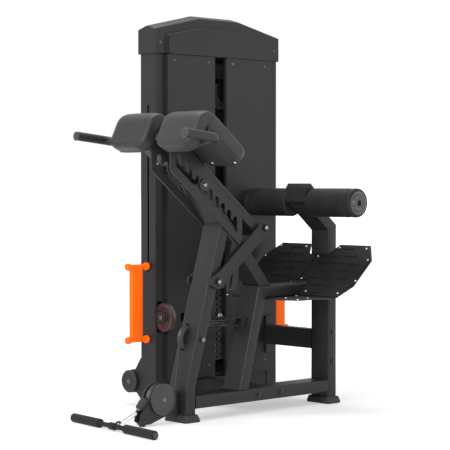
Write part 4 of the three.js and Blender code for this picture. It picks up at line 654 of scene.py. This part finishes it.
# Pad board: the moulded plastic shell under both cushions, fixed on the carriage. Two screws
# with bright domed heads stand in its underside below each pad.
shell_edge = 0.0015
board_screw_radius = 0.0055
board_screw_places = (-0.2215, -0.0975, 0.0975, 0.2215)
shell_plastic = grained(
    "shell_plastic", (0.016, 0.016, 0.016), (0.026, 0.026, 0.026),
    gloss=(0.42, 0.55), grain=380, depth=0.3, Specular_IOR_Level=0.28,
)
shell = eased("pad_board", "pad_board_shell", shell_edge)
fit_out(shell, "carriage", "moulded_plastic", shell_plastic, "pad_board")
under_slope = (-math.sin(slope), 0, -math.cos(slope))
screw_row = on_slope(-0.4, 0.0004)
shape = bmesh.new()
for across in board_screw_places:
    seat = Vector((screw_row.x, carriage_pivot.y + across, screw_row.y))
    add_dome(shape, seat, under_slope, board_screw_radius)
fit_out(linked("pad_board_screws", shape, 60), "carriage", "bright_steel", bright_dome)

# Handles: bent round tube under the frame's coat. A thin metal rim and a flat plastic plug
# close the end of each grip.
handle_edge = 0.0015
handle_radius = 0.0175
grip_rise = math.radians(6)
tip_inset = 0.002
plug_share = 0.78
rim_share = 1.01
for side in ("far", "near"):
    node = "handle_" + side
    tube = eased(node, node + "_tube", handle_edge, segments=3, angle=40)
    fit_out(tube, "carriage", "frame_coat", frame_coat, node)

cap_plastic = grained(
    "cap_plastic", (0.02, 0.02, 0.02), (0.035, 0.035, 0.035),
    gloss=(0.3, 0.4), grain=300, depth=0.2,
)
rim_metal = grained(
    "rim_metal", (0.08, 0.08, 0.082), (0.13, 0.13, 0.132),
    gloss=(0.25, 0.35), grain=200, depth=0.1, Metallic=1,
)
grip_along = Vector((-math.cos(grip_rise), 0, math.sin(grip_rise)))
for side in ("far", "near"):
    low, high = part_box("handle_" + side)
    tip_y = high.y - handle_radius if side == "far" else low.y + handle_radius
    tip = Vector((low.x + tip_inset, tip_y, high.z - handle_radius))
    for name, reach, share, thickness, slot, finish, segments in (
        ("handle_cap_", 0.0012, plug_share, 0.0018, "moulded_plastic", cap_plastic, 32),
        ("handle_rim_", -0.001, rim_share, 0.002, "bright_steel", rim_metal, 40),
    ):
        shape = bmesh.new()
        seat = tip + grip_along * reach
        add_disc(shape, seat, grip_along, handle_radius * share, thickness, segments, 0.0008)
        fit_out(linked(name + side, shape, 40), "carriage", slot, finish)

# Back rollers: closed-cell foam sleeves on plastic cores. Each sleeve is drawn in by pleats at
# a gathered seam near its outer end, round a moulded disc with turned rings and a dark hole.
foam = grained(
    "roller_foam", (0.013, 0.013, 0.0135), (0.021, 0.021, 0.0215),
    gloss=(0.5, 0.62), grain=260, depth=0.7, mottle=14, Specular_IOR_Level=0.14,
)
disc_plastic = grained(
    "disc_plastic", (0.036, 0.036, 0.037), (0.052, 0.052, 0.053),
    gloss=(0.24, 0.36), grain=300, depth=0.2,
)


def spun(name, profile, centre, axis, steps=72, smooth_angle=40):
    """A turned piece from (station along the axis, radius) pairs, about an axis at a place."""
    shape = bmesh.new()
    along = Vector(axis).normalized()
    aside = along.orthogonal().normalized()
    corners = [
        shape.verts.new(Vector(centre) + along * station + aside * radius)
        for station, radius in profile
    ]
    chain = [shape.edges.new(pair) for pair in zip(corners, corners[1:])]
    bmesh.ops.spin(
        shape,
        geom=corners + chain,
        cent=centre,
        axis=along,
        angle=math.tau,
        steps=steps,
        use_merge=True,
    )
    bmesh.ops.remove_doubles(shape, verts=shape.verts, dist=weld_reach)
    bmesh.ops.recalc_face_normals(shape, faces=shape.faces)
    return linked(name, shape, smooth_angle)


shoulder_share = 0.16
shoulder_steps = 6
sleeve_steps = 30
inner_bore = 0.37
core_bore = 0.24
outer_bore = 0.56
skin_share = 0.7
seam_from_end = 0.034
seam_spread = 0.006
seam_depth = 0.0048
pleat_count = 30
pleat_depth = 0.0012
disc_share = 0.93
disc_hole = 0.0112
for side, outward, body in (("far", 1, "roller_back"), ("near", -1, "roller_front")):
    node = "roller_" + side
    low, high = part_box(node)
    centre = middle_of(node)
    radius = (high.z - low.z) / 2
    half = (high.y - low.y) / 2
    shoulder = radius * shoulder_share
    rise = []
    for step in range(shoulder_steps + 1):
        angle = math.pi / 2 * step / shoulder_steps
        rise.append((shoulder * (1 - math.cos(angle)), radius - shoulder * (1 - math.sin(angle))))
    profile = [(-half, radius * inner_bore)]
    profile += [(-half + inward, ring) for inward, ring in rise]
    for step in range(1, sleeve_steps):
        profile.append((-half + shoulder + (2 * half - 2 * shoulder) * step / sleeve_steps, radius))
    profile += [(half - inward, ring) for inward, ring in reversed(rise)]
    profile += [(half, radius * outer_bore), (half - 0.004, radius * 0.55)]
    profile += [(half - 0.004, radius * core_bore), (-half + 0.003, radius * core_bore)]
    profile += [(-half + 0.003, radius * inner_bore), (-half, radius * inner_bore)]
    sleeve = spun(node + "_foam", profile, centre, (0, outward, 0), steps=120, smooth_angle=180)
    for vert in sleeve.data.vertices:
        away = vert.co - centre
        ring = math.hypot(away.x, away.z)
        if ring < radius * skin_share:
            continue
        past_seam = away.y * outward - (half - seam_from_end)
        near_seam = math.exp(-((past_seam / seam_spread) ** 2))
        toward_end = min(1, max(0, past_seam / seam_from_end))
        pleat = 0.5 + 0.5 * math.cos(math.atan2(away.z, away.x) * pleat_count)
        draw = seam_depth * near_seam * (0.5 + 0.5 * pleat) + pleat_depth * toward_end * pleat
        keep = 1 - draw / ring
        vert.co.x = centre.x + away.x * keep
        vert.co.z = centre.z + away.z * keep
    fit_out(sleeve, body, "foam", foam, node)
    reach = radius * disc_share
    disc_profile = [
        (-0.012, disc_hole), (0.0046, disc_hole), (0.006, 0.0125), (0.006, 0.0165),
        (0.0032, 0.0185), (0.0046, 0.0205), (0.004, reach * 0.6), (0.001, reach * 0.65),
        (0.0026, reach * 0.7), (0.0008, reach * 0.84), (-0.0016, reach * 0.93), (-0.006, reach),
        (-0.011, reach), (-0.012, disc_hole),
    ]
    disc_profile = [(half + proud, ring) for proud, ring in disc_profile]
    disc = spun(node + "_end_disc", disc_profile, centre, (0, outward, 0), steps=64)
    fit_out(disc, body, "moulded_plastic", disc_plastic)

# Roller axle: a dark steel bar through the head of the roller post. Its ends stay back inside
# the holes of the discs.
axle_radius = 0.0124
axle_inset = 0.022
low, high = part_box("roller_axle")
axle_half = (high.y - low.y) / 2 - axle_inset
axle_bar = spun(
    "roller_axle_bar",
    [(-axle_half, 0), (-axle_half, axle_radius), (axle_half, axle_radius), (axle_half, 0)],
    middle_of("roller_axle"),
    (0, 1, 0),
    steps=32,
)
fit_out(axle_bar, "root", "bright_steel", dark_steel, "roller_axle")

# Tower sheet: folded steel under a matte black coat. The uprights, sill, cap, and front and
# rear shrouds are eased at their folds.
fold_edge = 0.002
sheet_coat = grained(
    "matte_black_sheet", (0.014, 0.014, 0.0145), (0.019, 0.019, 0.0195),
    gloss=(0.48, 0.6), grain=620, depth=0.3, mottle=2.2, Specular_IOR_Level=0.28,
)
for node in (
    "upright_left",
    "upright_right",
    "tower_sill",
    "top_cap",
    "shroud_left",
    "shroud_right",
    "rear_shroud",
):
    fit_out(eased(node, node + "_sheet", fold_edge), "root", "sheet_coat", sheet_coat, node)

# Crown beam: folded steel sheet under the tower's cap, which carries the crown pulley. Its coat
# is painted near black and dull, as painted shade for the tower's slot in which it stands.
beam_edge = 0.001
# Painted shade: the near-black, dull tone stands in for the shade inside the tower's slot.
slot_shade_coat = grained(
    "painted_slot_shade", (0.004, 0.004, 0.004), (0.007, 0.007, 0.007),
    gloss=(0.8, 0.9), grain=500, depth=0.2, Specular_IOR_Level=0.1,
)
crown_beam = eased("crown_beam", "crown_beam_painted_shade", beam_edge)
fit_out(crown_beam, "root", "frame_coat", slot_shade_coat, "crown_beam")

# Tower screws: blackened steel with low domed heads, two at the head and two at the foot of
# each front shroud, and one at each lower corner of the cap.
tower_screw_radius = 0.007
tower_screw_rise = 0.45
shroud_margin = 0.035
shroud_foot = 0.05
shroud_head = 0.024
cap_margin = 0.03
cap_screw_back = 0.017
cap_screw_height = 0.045
screw_black = grained(
    "blackened_screw", (0.06, 0.06, 0.06), (0.1, 0.1, 0.1),
    gloss=(0.25, 0.35), grain=300, depth=0.1, Metallic=0.8,
)
screw_seats = []
for node in ("shroud_left", "shroud_right"):
    low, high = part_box(node)
    for x in (low.x + shroud_margin, high.x - shroud_margin):
        screw_seats += [(x, low.y, low.z + shroud_foot), (x, low.y, high.z - shroud_head)]
low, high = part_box("top_cap")
for x in (low.x + cap_margin, high.x - cap_margin):
    screw_seats.append((x, low.y + cap_screw_back, low.z + cap_screw_height))
shape = bmesh.new()
for seat in screw_seats:
    add_dome(shape, seat, toward_user, tower_screw_radius, tower_screw_rise)
fit_out(linked("tower_screws", shape, 60), "root", "bright_steel", screw_black)

# Weight plates: cast steel plates under a black coat, stacked loose on rubber bumpers. The
# lifted ones hang from the head plate and its stem.
plate_edge = 0.0008
bumper_edge = 0.0015
plate_coat = grained(
    "plate_coat", (0.024, 0.024, 0.025), (0.042, 0.042, 0.043),
    gloss=(0.34, 0.46), grain=300, depth=0.25, mottle=18,
)
for node, body in (("resting_plates", "root"), ("lifted_plates", "stack")):
    fit_out(eased(node, node + "_coated", plate_edge), body, "stack_steel", plate_coat, node)
bumpers = eased("stack_bumpers", "stack_bumpers_rubber", bumper_edge)
fit_out(bumpers, "root", "rubber", shoe_rubber, "stack_bumpers")

# Guide rods: two polished chrome bars that stand in the sill and pass through every plate,
# chamfered at both ends.
rod_chamfer = 0.001
rod_chrome = grained(
    "rod_chrome", (0.6, 0.61, 0.62), (0.7, 0.71, 0.72),
    gloss=(0.1, 0.2), grain=200, depth=0.05, Metallic=1,
)
for node in ("guide_rod_left", "guide_rod_right"):
    low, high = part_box(node)
    half = (high.z - low.z) / 2
    radius = (high.x - low.x) / 2
    profile = [(-half, 0), (-half, radius - rod_chamfer), (-half + rod_chamfer, radius)]
    profile += [(half - rod_chamfer, radius), (half, radius - rod_chamfer), (half, 0)]
    rod = spun(node + "_chrome", profile, middle_of(node), (0, 0, 1), steps=40, smooth_angle=50)
    fit_out(rod, "root", "bright_steel", rod_chrome, node)

# Plate bushes: bright steel rings pressed into the holes in the front of each plate, in two
# columns.
plate_pitch = 0.0245
head_height = 0.07
bush_outer = 0.0072
bush_inner = 0.0048
bush_apart = 0.029
bush_wall = 0.0008
for name, node, body, count in (
    ("resting_bushes", "resting_plates", "root", 7),
    ("lifted_bushes", "lifted_plates", "stack", 5),
):
    low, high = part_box(node)
    first = low.z if body == "root" else high.z - head_height - count * plate_pitch
    middle_x = (low.x + high.x) / 2
    shape = bmesh.new()
    for column in (-1, 1):
        for number in range(count):
            centre = (
                middle_x + column * bush_apart / 2,
                low.y - bush_wall / 2,
                first + plate_pitch * (number + 0.5),
            )
            inner = bmesh.ops.create_circle(shape, segments=24, radius=bush_inner)["verts"]
            rim = list({edge for vert in inner for edge in vert.link_edges})
            wide = bmesh.ops.extrude_edge_only(shape, edges=rim)["geom"]
            outer = [item for item in wide if isinstance(item, bmesh.types.BMVert)]
            bmesh.ops.scale(shape, verts=outer, vec=(bush_outer / bush_inner,) * 2 + (1,))
            stand = turned_to(toward_user, centre)
            bmesh.ops.transform(shape, verts=inner + outer, matrix=stand)
    bmesh.ops.solidify(shape, geom=shape.faces[:], thickness=-bush_wall)
    bmesh.ops.recalc_face_normals(shape, faces=shape.faces)
    fit_out(linked(name, shape, 40), body, "bright_steel", rod_chrome)

# Selector pin: a turned steel shaft with a ribbed knob, pushed through a bush and the stem of
# the head plate to pick the weight.
selector = eased("selector_pin", "selector_pin_turned", 0.001)
fit_out(selector, "selector", "bright_steel", pin_steel, "selector_pin")

# Pulleys: turned nylon sheaves with a cable groove, a dished web and a hub. The one on the
# tower's face is a dark brown red, and the others are black.
pulley_radius = 0.057
pulley_half = 0.012
web_half = 0.0052
groove_floor = 0.0485
bore_radius = 0.0083
pulley_nylon = grained(
    "pulley_nylon", (0.024, 0.024, 0.025), (0.04, 0.04, 0.041),
    gloss=(0.3, 0.42), grain=400, depth=0.2, mottle=30,
)
red_nylon = grained(
    "red_nylon", (0.026, 0.012, 0.0115), (0.04, 0.017, 0.016),
    gloss=(0.4, 0.5), grain=400, depth=0.2, mottle=30,
)
sheave_side = [
    (pulley_half, bore_radius), (pulley_half, 0.015), (pulley_half - 0.0012, 0.0165),
    (web_half + 0.0008, 0.018), (web_half, 0.021), (web_half, 0.034),
    (web_half + 0.0008, 0.037), (pulley_half - 0.001, 0.041), (pulley_half, 0.043),
    (pulley_half, pulley_radius - 0.002), (pulley_half - 0.0015, pulley_radius),
    (pulley_half - 0.004, pulley_radius - 0.001), (0.0035, groove_floor + 0.001),
    (0.0015, groove_floor),
]


def both_sides(side):
    """A closed profile from its half on one side of the middle plane."""
    return side + [(-station, radius) for station, radius in reversed(side)] + side[:1]


for node, body, axis, slot, finish in (
    ("leg_pulley", "leg_sheave", (0, 1, 0), "moulded_plastic", pulley_nylon),
    ("transfer_pulley", "transfer_sheave", (0, 0, 1), "moulded_plastic", pulley_nylon),
    ("crown_pulley", "crown_sheave", (0, 1, 0), "moulded_plastic", pulley_nylon),
    ("front_pulley", "front_sheave", (1, 0, 0), "red_plastic", red_nylon),
    ("low_pulley", "low_sheave", (0, 1, 0), "moulded_plastic", pulley_nylon),
):
    wheel = spun(node + "_sheave", both_sides(sheave_side), middle_of(node), axis)
    fit_out(wheel, body, slot, finish, node)

# Axle bolts: dull zinc hexagon bolts on washers, on both faces of the left leg for the leg
# pulley and on both guard discs of the low pulley.
axle_bolt_radius = 0.006
low_bolt_radius = 0.0062
rail_half_width = 0.05
leg_axle_reach = 0.058
guard_thickness = 0.006
zinc = grained(
    "zinc_plate", (0.14, 0.14, 0.145), (0.26, 0.26, 0.27),
    gloss=(0.25, 0.4), grain=300, depth=0.15, mottle=60, Metallic=1,
)
leg_axle = middle_of("leg_pulley")
low_axle = middle_of("low_pulley")
swivel_low, swivel_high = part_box("swivel_bracket")
leg_bolts = []
for side, way in ((-1, toward_user), (1, toward_tower)):
    seat_y = rail_low.y + rail_half_width + side * leg_axle_reach
    leg_bolts.append(((leg_axle.x, seat_y, leg_axle.z), way, axle_bolt_radius))
bolt_group("leg_pulley_bolts", leg_bolts, zinc)
low_bolts = []
for cheek_y, way in (
    (swivel_low.y - guard_thickness, toward_user),
    (swivel_high.y + guard_thickness, toward_tower),
):
    low_bolts.append(((low_axle.x, cheek_y, low_axle.z), way, low_bolt_radius))
bolt_group("low_pulley_bolts", low_bolts, zinc, "swivel")

# Low pulley guards: a satin plastic disc on each cheek of the swivel, a little wider than the
# sheave. A thin dark ring in the shoes' rubber under the head of its bolt is painted shade for the
# hollow round the bolt.
guard_radius = 0.0605
guard_chamfer = 0.0035
ring_radius = 0.0125
ring_seat = 0.0055
ring_thickness = 0.0012
satin_disc = grained(
    "satin_disc", (0.026, 0.026, 0.027), (0.036, 0.036, 0.037),
    gloss=(0.28, 0.38), grain=420, depth=0.15,
)
guard_shape, shade_ring_shape = bmesh.new(), bmesh.new()
for cheek_y, way in ((swivel_low.y, toward_user), (swivel_high.y, toward_tower)):
    seat = (low_axle.x, cheek_y, low_axle.z)
    add_disc(guard_shape, seat, way, guard_radius, guard_thickness, 64, guard_chamfer)
    seat = low_axle + way * ((swivel_high.y - swivel_low.y) / 2 + ring_seat)
    add_disc(shade_ring_shape, seat, way, ring_radius, ring_thickness, 40, 0.0004)
guards = linked("low_pulley_guards", guard_shape, 40)
fit_out(guards, "swivel", "moulded_plastic", satin_disc)
# Painted shade: the dark ring stands for the shade in the hollow round the bolt.
fit_out(linked("low_pulley_shade_rings", shade_ring_shape, 40), "swivel", "rubber", shoe_rubber)

# Front pulley bolts: the ends of the red pulley's axle, zinc hexagon bolts on the outer faces
# of the two cheeks that hold it on the tower.
front_reach = 0.0226
front_axle = middle_of("front_pulley")
front_bolts = []
for side in (-1, 1):
    seat = front_axle + Vector((side * front_reach, 0, 0))
    front_bolts.append((seat, (side, 0, 0), axle_bolt_radius))
bolt_group("front_pulley_bolts", front_bolts, zinc)

# Cables: the taut lift cable is steel rope in a black nylon jacket. The run above the stack is
# bare rope, which on the machine shortens as the stack rises, because the crown pulley takes it up.
rope_radius = 0.0025
cable_jacket = grained(
    "cable_jacket", (0.012, 0.012, 0.012), (0.02, 0.02, 0.02),
    gloss=(0.35, 0.45), grain=300, depth=0.2,
)
bare_rope = grained(
    "bare_rope", (0.3, 0.3, 0.3), (0.45, 0.45, 0.45),
    gloss=(0.35, 0.5), grain=900, depth=0.4, Metallic=0.8,
)
lift_run = eased("lift_cable", "lift_cable_run", 0.0002, segments=1, angle=60)
fit_out(lift_run, "root", "cable_jacket", cable_jacket, "lift_cable")
stack_low, stack_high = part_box("stack_cable")
stack_middle = middle_of("stack_cable")
stack_half = (stack_high.z - stack_low.z) / 2
profile = [(-stack_half, 0)]
profile += [(station, rope_radius) for station in (-stack_half, 0, stack_half)]
profile += [(stack_half, 0)]
stack_run = spun("stack_cable_run", profile, stack_middle, (0, 0, 1), steps=16, smooth_angle=50)
fit_out(stack_run, "root", "bright_steel", bare_rope, "stack_cable")
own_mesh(stack_run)

# Ball stop: a rubber ball in a short rubber barrel on the cable's end, which can't pass the low
# pulley, and a bright sleeve crimped on the rope below it.
ball_edge = 0.0006
ball_reach = 0.016
barrel_profile = [
    (-0.0165, 0), (-0.0165, 0.0125), (-0.0145, 0.0155), (-0.0115, 0.0165), (0.0095, 0.0165),
    (0.0135, 0.0155), (0.0165, 0.0125), (0.0175, 0.0095), (0.0175, 0),
]
crimp_profile = [
    (0.0172, 0), (0.0172, 0.0088), (0.0182, 0.0096), (0.0242, 0.0096), (0.0252, 0.0088),
    (0.0262, 0.0072), (0.0332, 0.0072), (0.0342, 0.0062), (0.0342, 0),
]
ball = eased("ball_stop", "ball_stop_rubber", ball_edge, angle=60)
fit_out(ball, "swivel", "rubber", shoe_rubber, "ball_stop")
low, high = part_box("ball_stop")
ball_middle = Vector((high.x - ball_reach, (low.y + high.y) / 2, high.z - ball_reach))
to_bar = (Vector((low.x, ball_middle.y, low.z)) - ball_middle).normalized()
barrel = spun("ball_stop_barrel", barrel_profile, ball_middle, to_bar, steps=40)
fit_out(barrel, "swivel", "rubber", shoe_rubber)
crimp = spun("ball_stop_sleeve", crimp_profile, ball_middle, to_bar, steps=32)
fit_out(crimp, "swivel", "bright_steel", rod_chrome)

# Carabiner: a closed oval ring of bright round wire, hooked through the sleeve's end and the
# eye of the pull bar.
clip = eased("carabiner", "carabiner_ring", 0.0003, segments=1, angle=60)
fit_out(clip, "swivel", "bright_steel", rod_chrome, "carabiner")

# Pull bar: a thin coated steel bar with a welded eye in its middle, and a collar and a foam
# grip on each side. A stepped plastic cap is pressed into each end.
grip_edge = 0.0015
end_sample = 0.03
# The cap's two steps: how far each starts past the end, radius, length, segments and chamfer.
end_cap_steps = [(-0.0004, 0.0105, 0.0016, 32, 0.0006), (0.001, 0.0055, 0.0014, 28, 0.0005)]
grips = eased("pull_bar", "pull_bar_grips", grip_edge, segments=3, angle=40)
fit_out(grips, "bar", "foam", foam, "pull_bar")
bar_low, bar_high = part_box("pull_bar")
bar_points = [vert.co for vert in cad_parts["pull_bar"].data.vertices]
near_points = [point for point in bar_points if point.y < bar_low.y + end_sample]
far_points = [point for point in bar_points if point.y > bar_high.y - end_sample]
near_end = sum(near_points, Vector()) / len(near_points)
far_end = sum(far_points, Vector()) / len(far_points)
bar_along = (near_end - far_end).normalized()
shape = bmesh.new()
for points, middle, way in (
    (near_points, near_end, bar_along),
    (far_points, far_end, -bar_along),
):
    reach = max((point - middle).dot(way) for point in points)
    for proud, radius, length, segments, chamfer in end_cap_steps:
        seat = middle + way * (reach + proud)
        add_disc(shape, seat, way, radius, length, segments, chamfer)
fit_out(linked("pull_bar_ends", shape, 40), "bar", "moulded_plastic", disc_plastic)

# Band brackets: steel under a bright orange coat with a painted glow, one on each side of the
# tower. A deep plate joins two round rods that stand out from the upright, each with a flange at
# the upright and a knob at its end.
band_reach = 0.109
band_plate_starts = 0.031
band_plate_width = 0.057
band_plate_depth = 0.021
band_plate_spare = 0.008
band_gap = 0.0005
band_plate_round = 0.0035
lower_rod = 0.018
upper_rod = 0.025
# Rod, flange and knob: where each starts on the rod, radius, length, segments and chamfer.
band_discs = [
    (0, 0.0095, band_reach - 0.004, 28, 0.0015),
    (0, 0.0155, 0.013, 32, 0.003),
    (band_reach - 0.014, 0.0145, 0.014, 32, 0.004),
]
orange_coat = grained(
    "orange_coat", (0.95, 0.13, 0.004), (1.0, 0.15, 0.006),
    gloss=(0.4, 0.5), grain=500, depth=0.15, Specular_IOR_Level=0.15,
    # Painted glow: the emission makes the orange coat shine as if lit, though it is no lamp.
    Emission_Color=(1.0, 0.13, 0.002, 1), Emission_Strength=0.2,
)
tower_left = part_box("upright_left")[0].x
tower_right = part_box("upright_right")[1].x
for side, face_x, away in (("left", tower_left, -1), ("right", tower_right, 1)):
    node = "band_bracket_" + side
    low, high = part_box(node)
    levels = (low.z + lower_rod, high.z - upper_rod)
    middle_y = (low.y + high.y) / 2
    way = Vector((away, 0, 0))
    shape = bmesh.new()
    for level in levels:
        seat = Vector((face_x + away * band_gap, middle_y, level))
        for start, radius, length, segments, chamfer in band_discs:
            add_disc(shape, seat + way * start, way, radius, length, segments, chamfer)
    plate = bmesh.ops.create_cube(shape, size=1)["verts"]
    plate_height = levels[1] - levels[0] + band_plate_spare
    plate_x = face_x + away * (band_plate_starts + band_plate_width / 2)
    plate_size = (band_plate_width, band_plate_depth, plate_height)
    bmesh.ops.scale(shape, verts=plate, vec=plate_size)
    bmesh.ops.translate(shape, verts=plate, vec=(plate_x, middle_y, sum(levels) / 2))
    bmesh.ops.bevel(
        shape,
        geom=list({edge for vert in plate for edge in vert.link_edges}),
        offset=band_plate_round,
        affect="EDGES",
        segments=3,
        profile=0.5,
        material=-1,
    )
    fit_out(linked(node + "_coated", shape, 40), "root", "orange_coat", orange_coat, node)

# Transport wheels: solid black rubber tyres on a dished hub. Each turns on an axle in a
# bracket at a lower rear corner of the tower, and meets the floor when the tower is tipped.
for side in ("left", "right"):
    node = "transport_wheel_" + side
    low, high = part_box(node)
    radius = (high.z - low.z) / 2
    half = (high.x - low.x) / 2
    wheel_side = [
        (half, bore_radius), (half, 0.0145), (half - 0.004, 0.0165), (half - 0.005, radius * 0.55),
        (half - 0.004, radius * 0.66), (half - 0.0005, radius * 0.72), (half, radius * 0.8),
        (half - 0.001, radius * 0.93), (half - 0.004, radius * 0.985), (half - 0.008, radius),
    ]
    wheel = spun(node + "_tyre", both_sides(wheel_side), middle_of(node), (1, 0, 0))
    fit_out(wheel, "wheel_" + side, "rubber", shoe_rubber, node)

# Wheel caps: a stepped rubber disc on the outer end of each wheel's axle, beside the bracket,
# with a zinc bolt in its round recess.
cap_gap = 0.0004
cap_inset = 0.002
recess_depth = 0.0095
for side, face_x, away in (("left", tower_left, -1), ("right", tower_right, 1)):
    low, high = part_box("transport_wheel_" + side)
    seat = Vector((face_x + away * cap_gap, (low.y + high.y) / 2, (low.z + high.z) / 2))
    reach = (high.z - low.z) / 2 - cap_inset
    cap_profile = [
        (0, 0), (0, reach - 0.004), (0.003, reach), (0.009, reach), (0.013, reach - 0.004),
        (0.013, reach * 0.72), (recess_depth, reach * 0.66), (recess_depth, reach * 0.5),
        (0.0125, reach * 0.46), (0.0125, reach * 0.3), (recess_depth, reach * 0.27),
        (recess_depth, 0),
    ]
    cap = spun("wheel_cap_" + side, cap_profile, seat, (away, 0, 0), steps=64)
    fit_out(cap, "wheel_" + side, "rubber", shoe_rubber)
    head_seat = seat + Vector((away * recess_depth, 0, 0))
    head = (head_seat, (away, 0, 0), axle_bolt_radius)
    bolt_group("wheel_bolt_" + side, [head], zinc, "wheel_" + side)
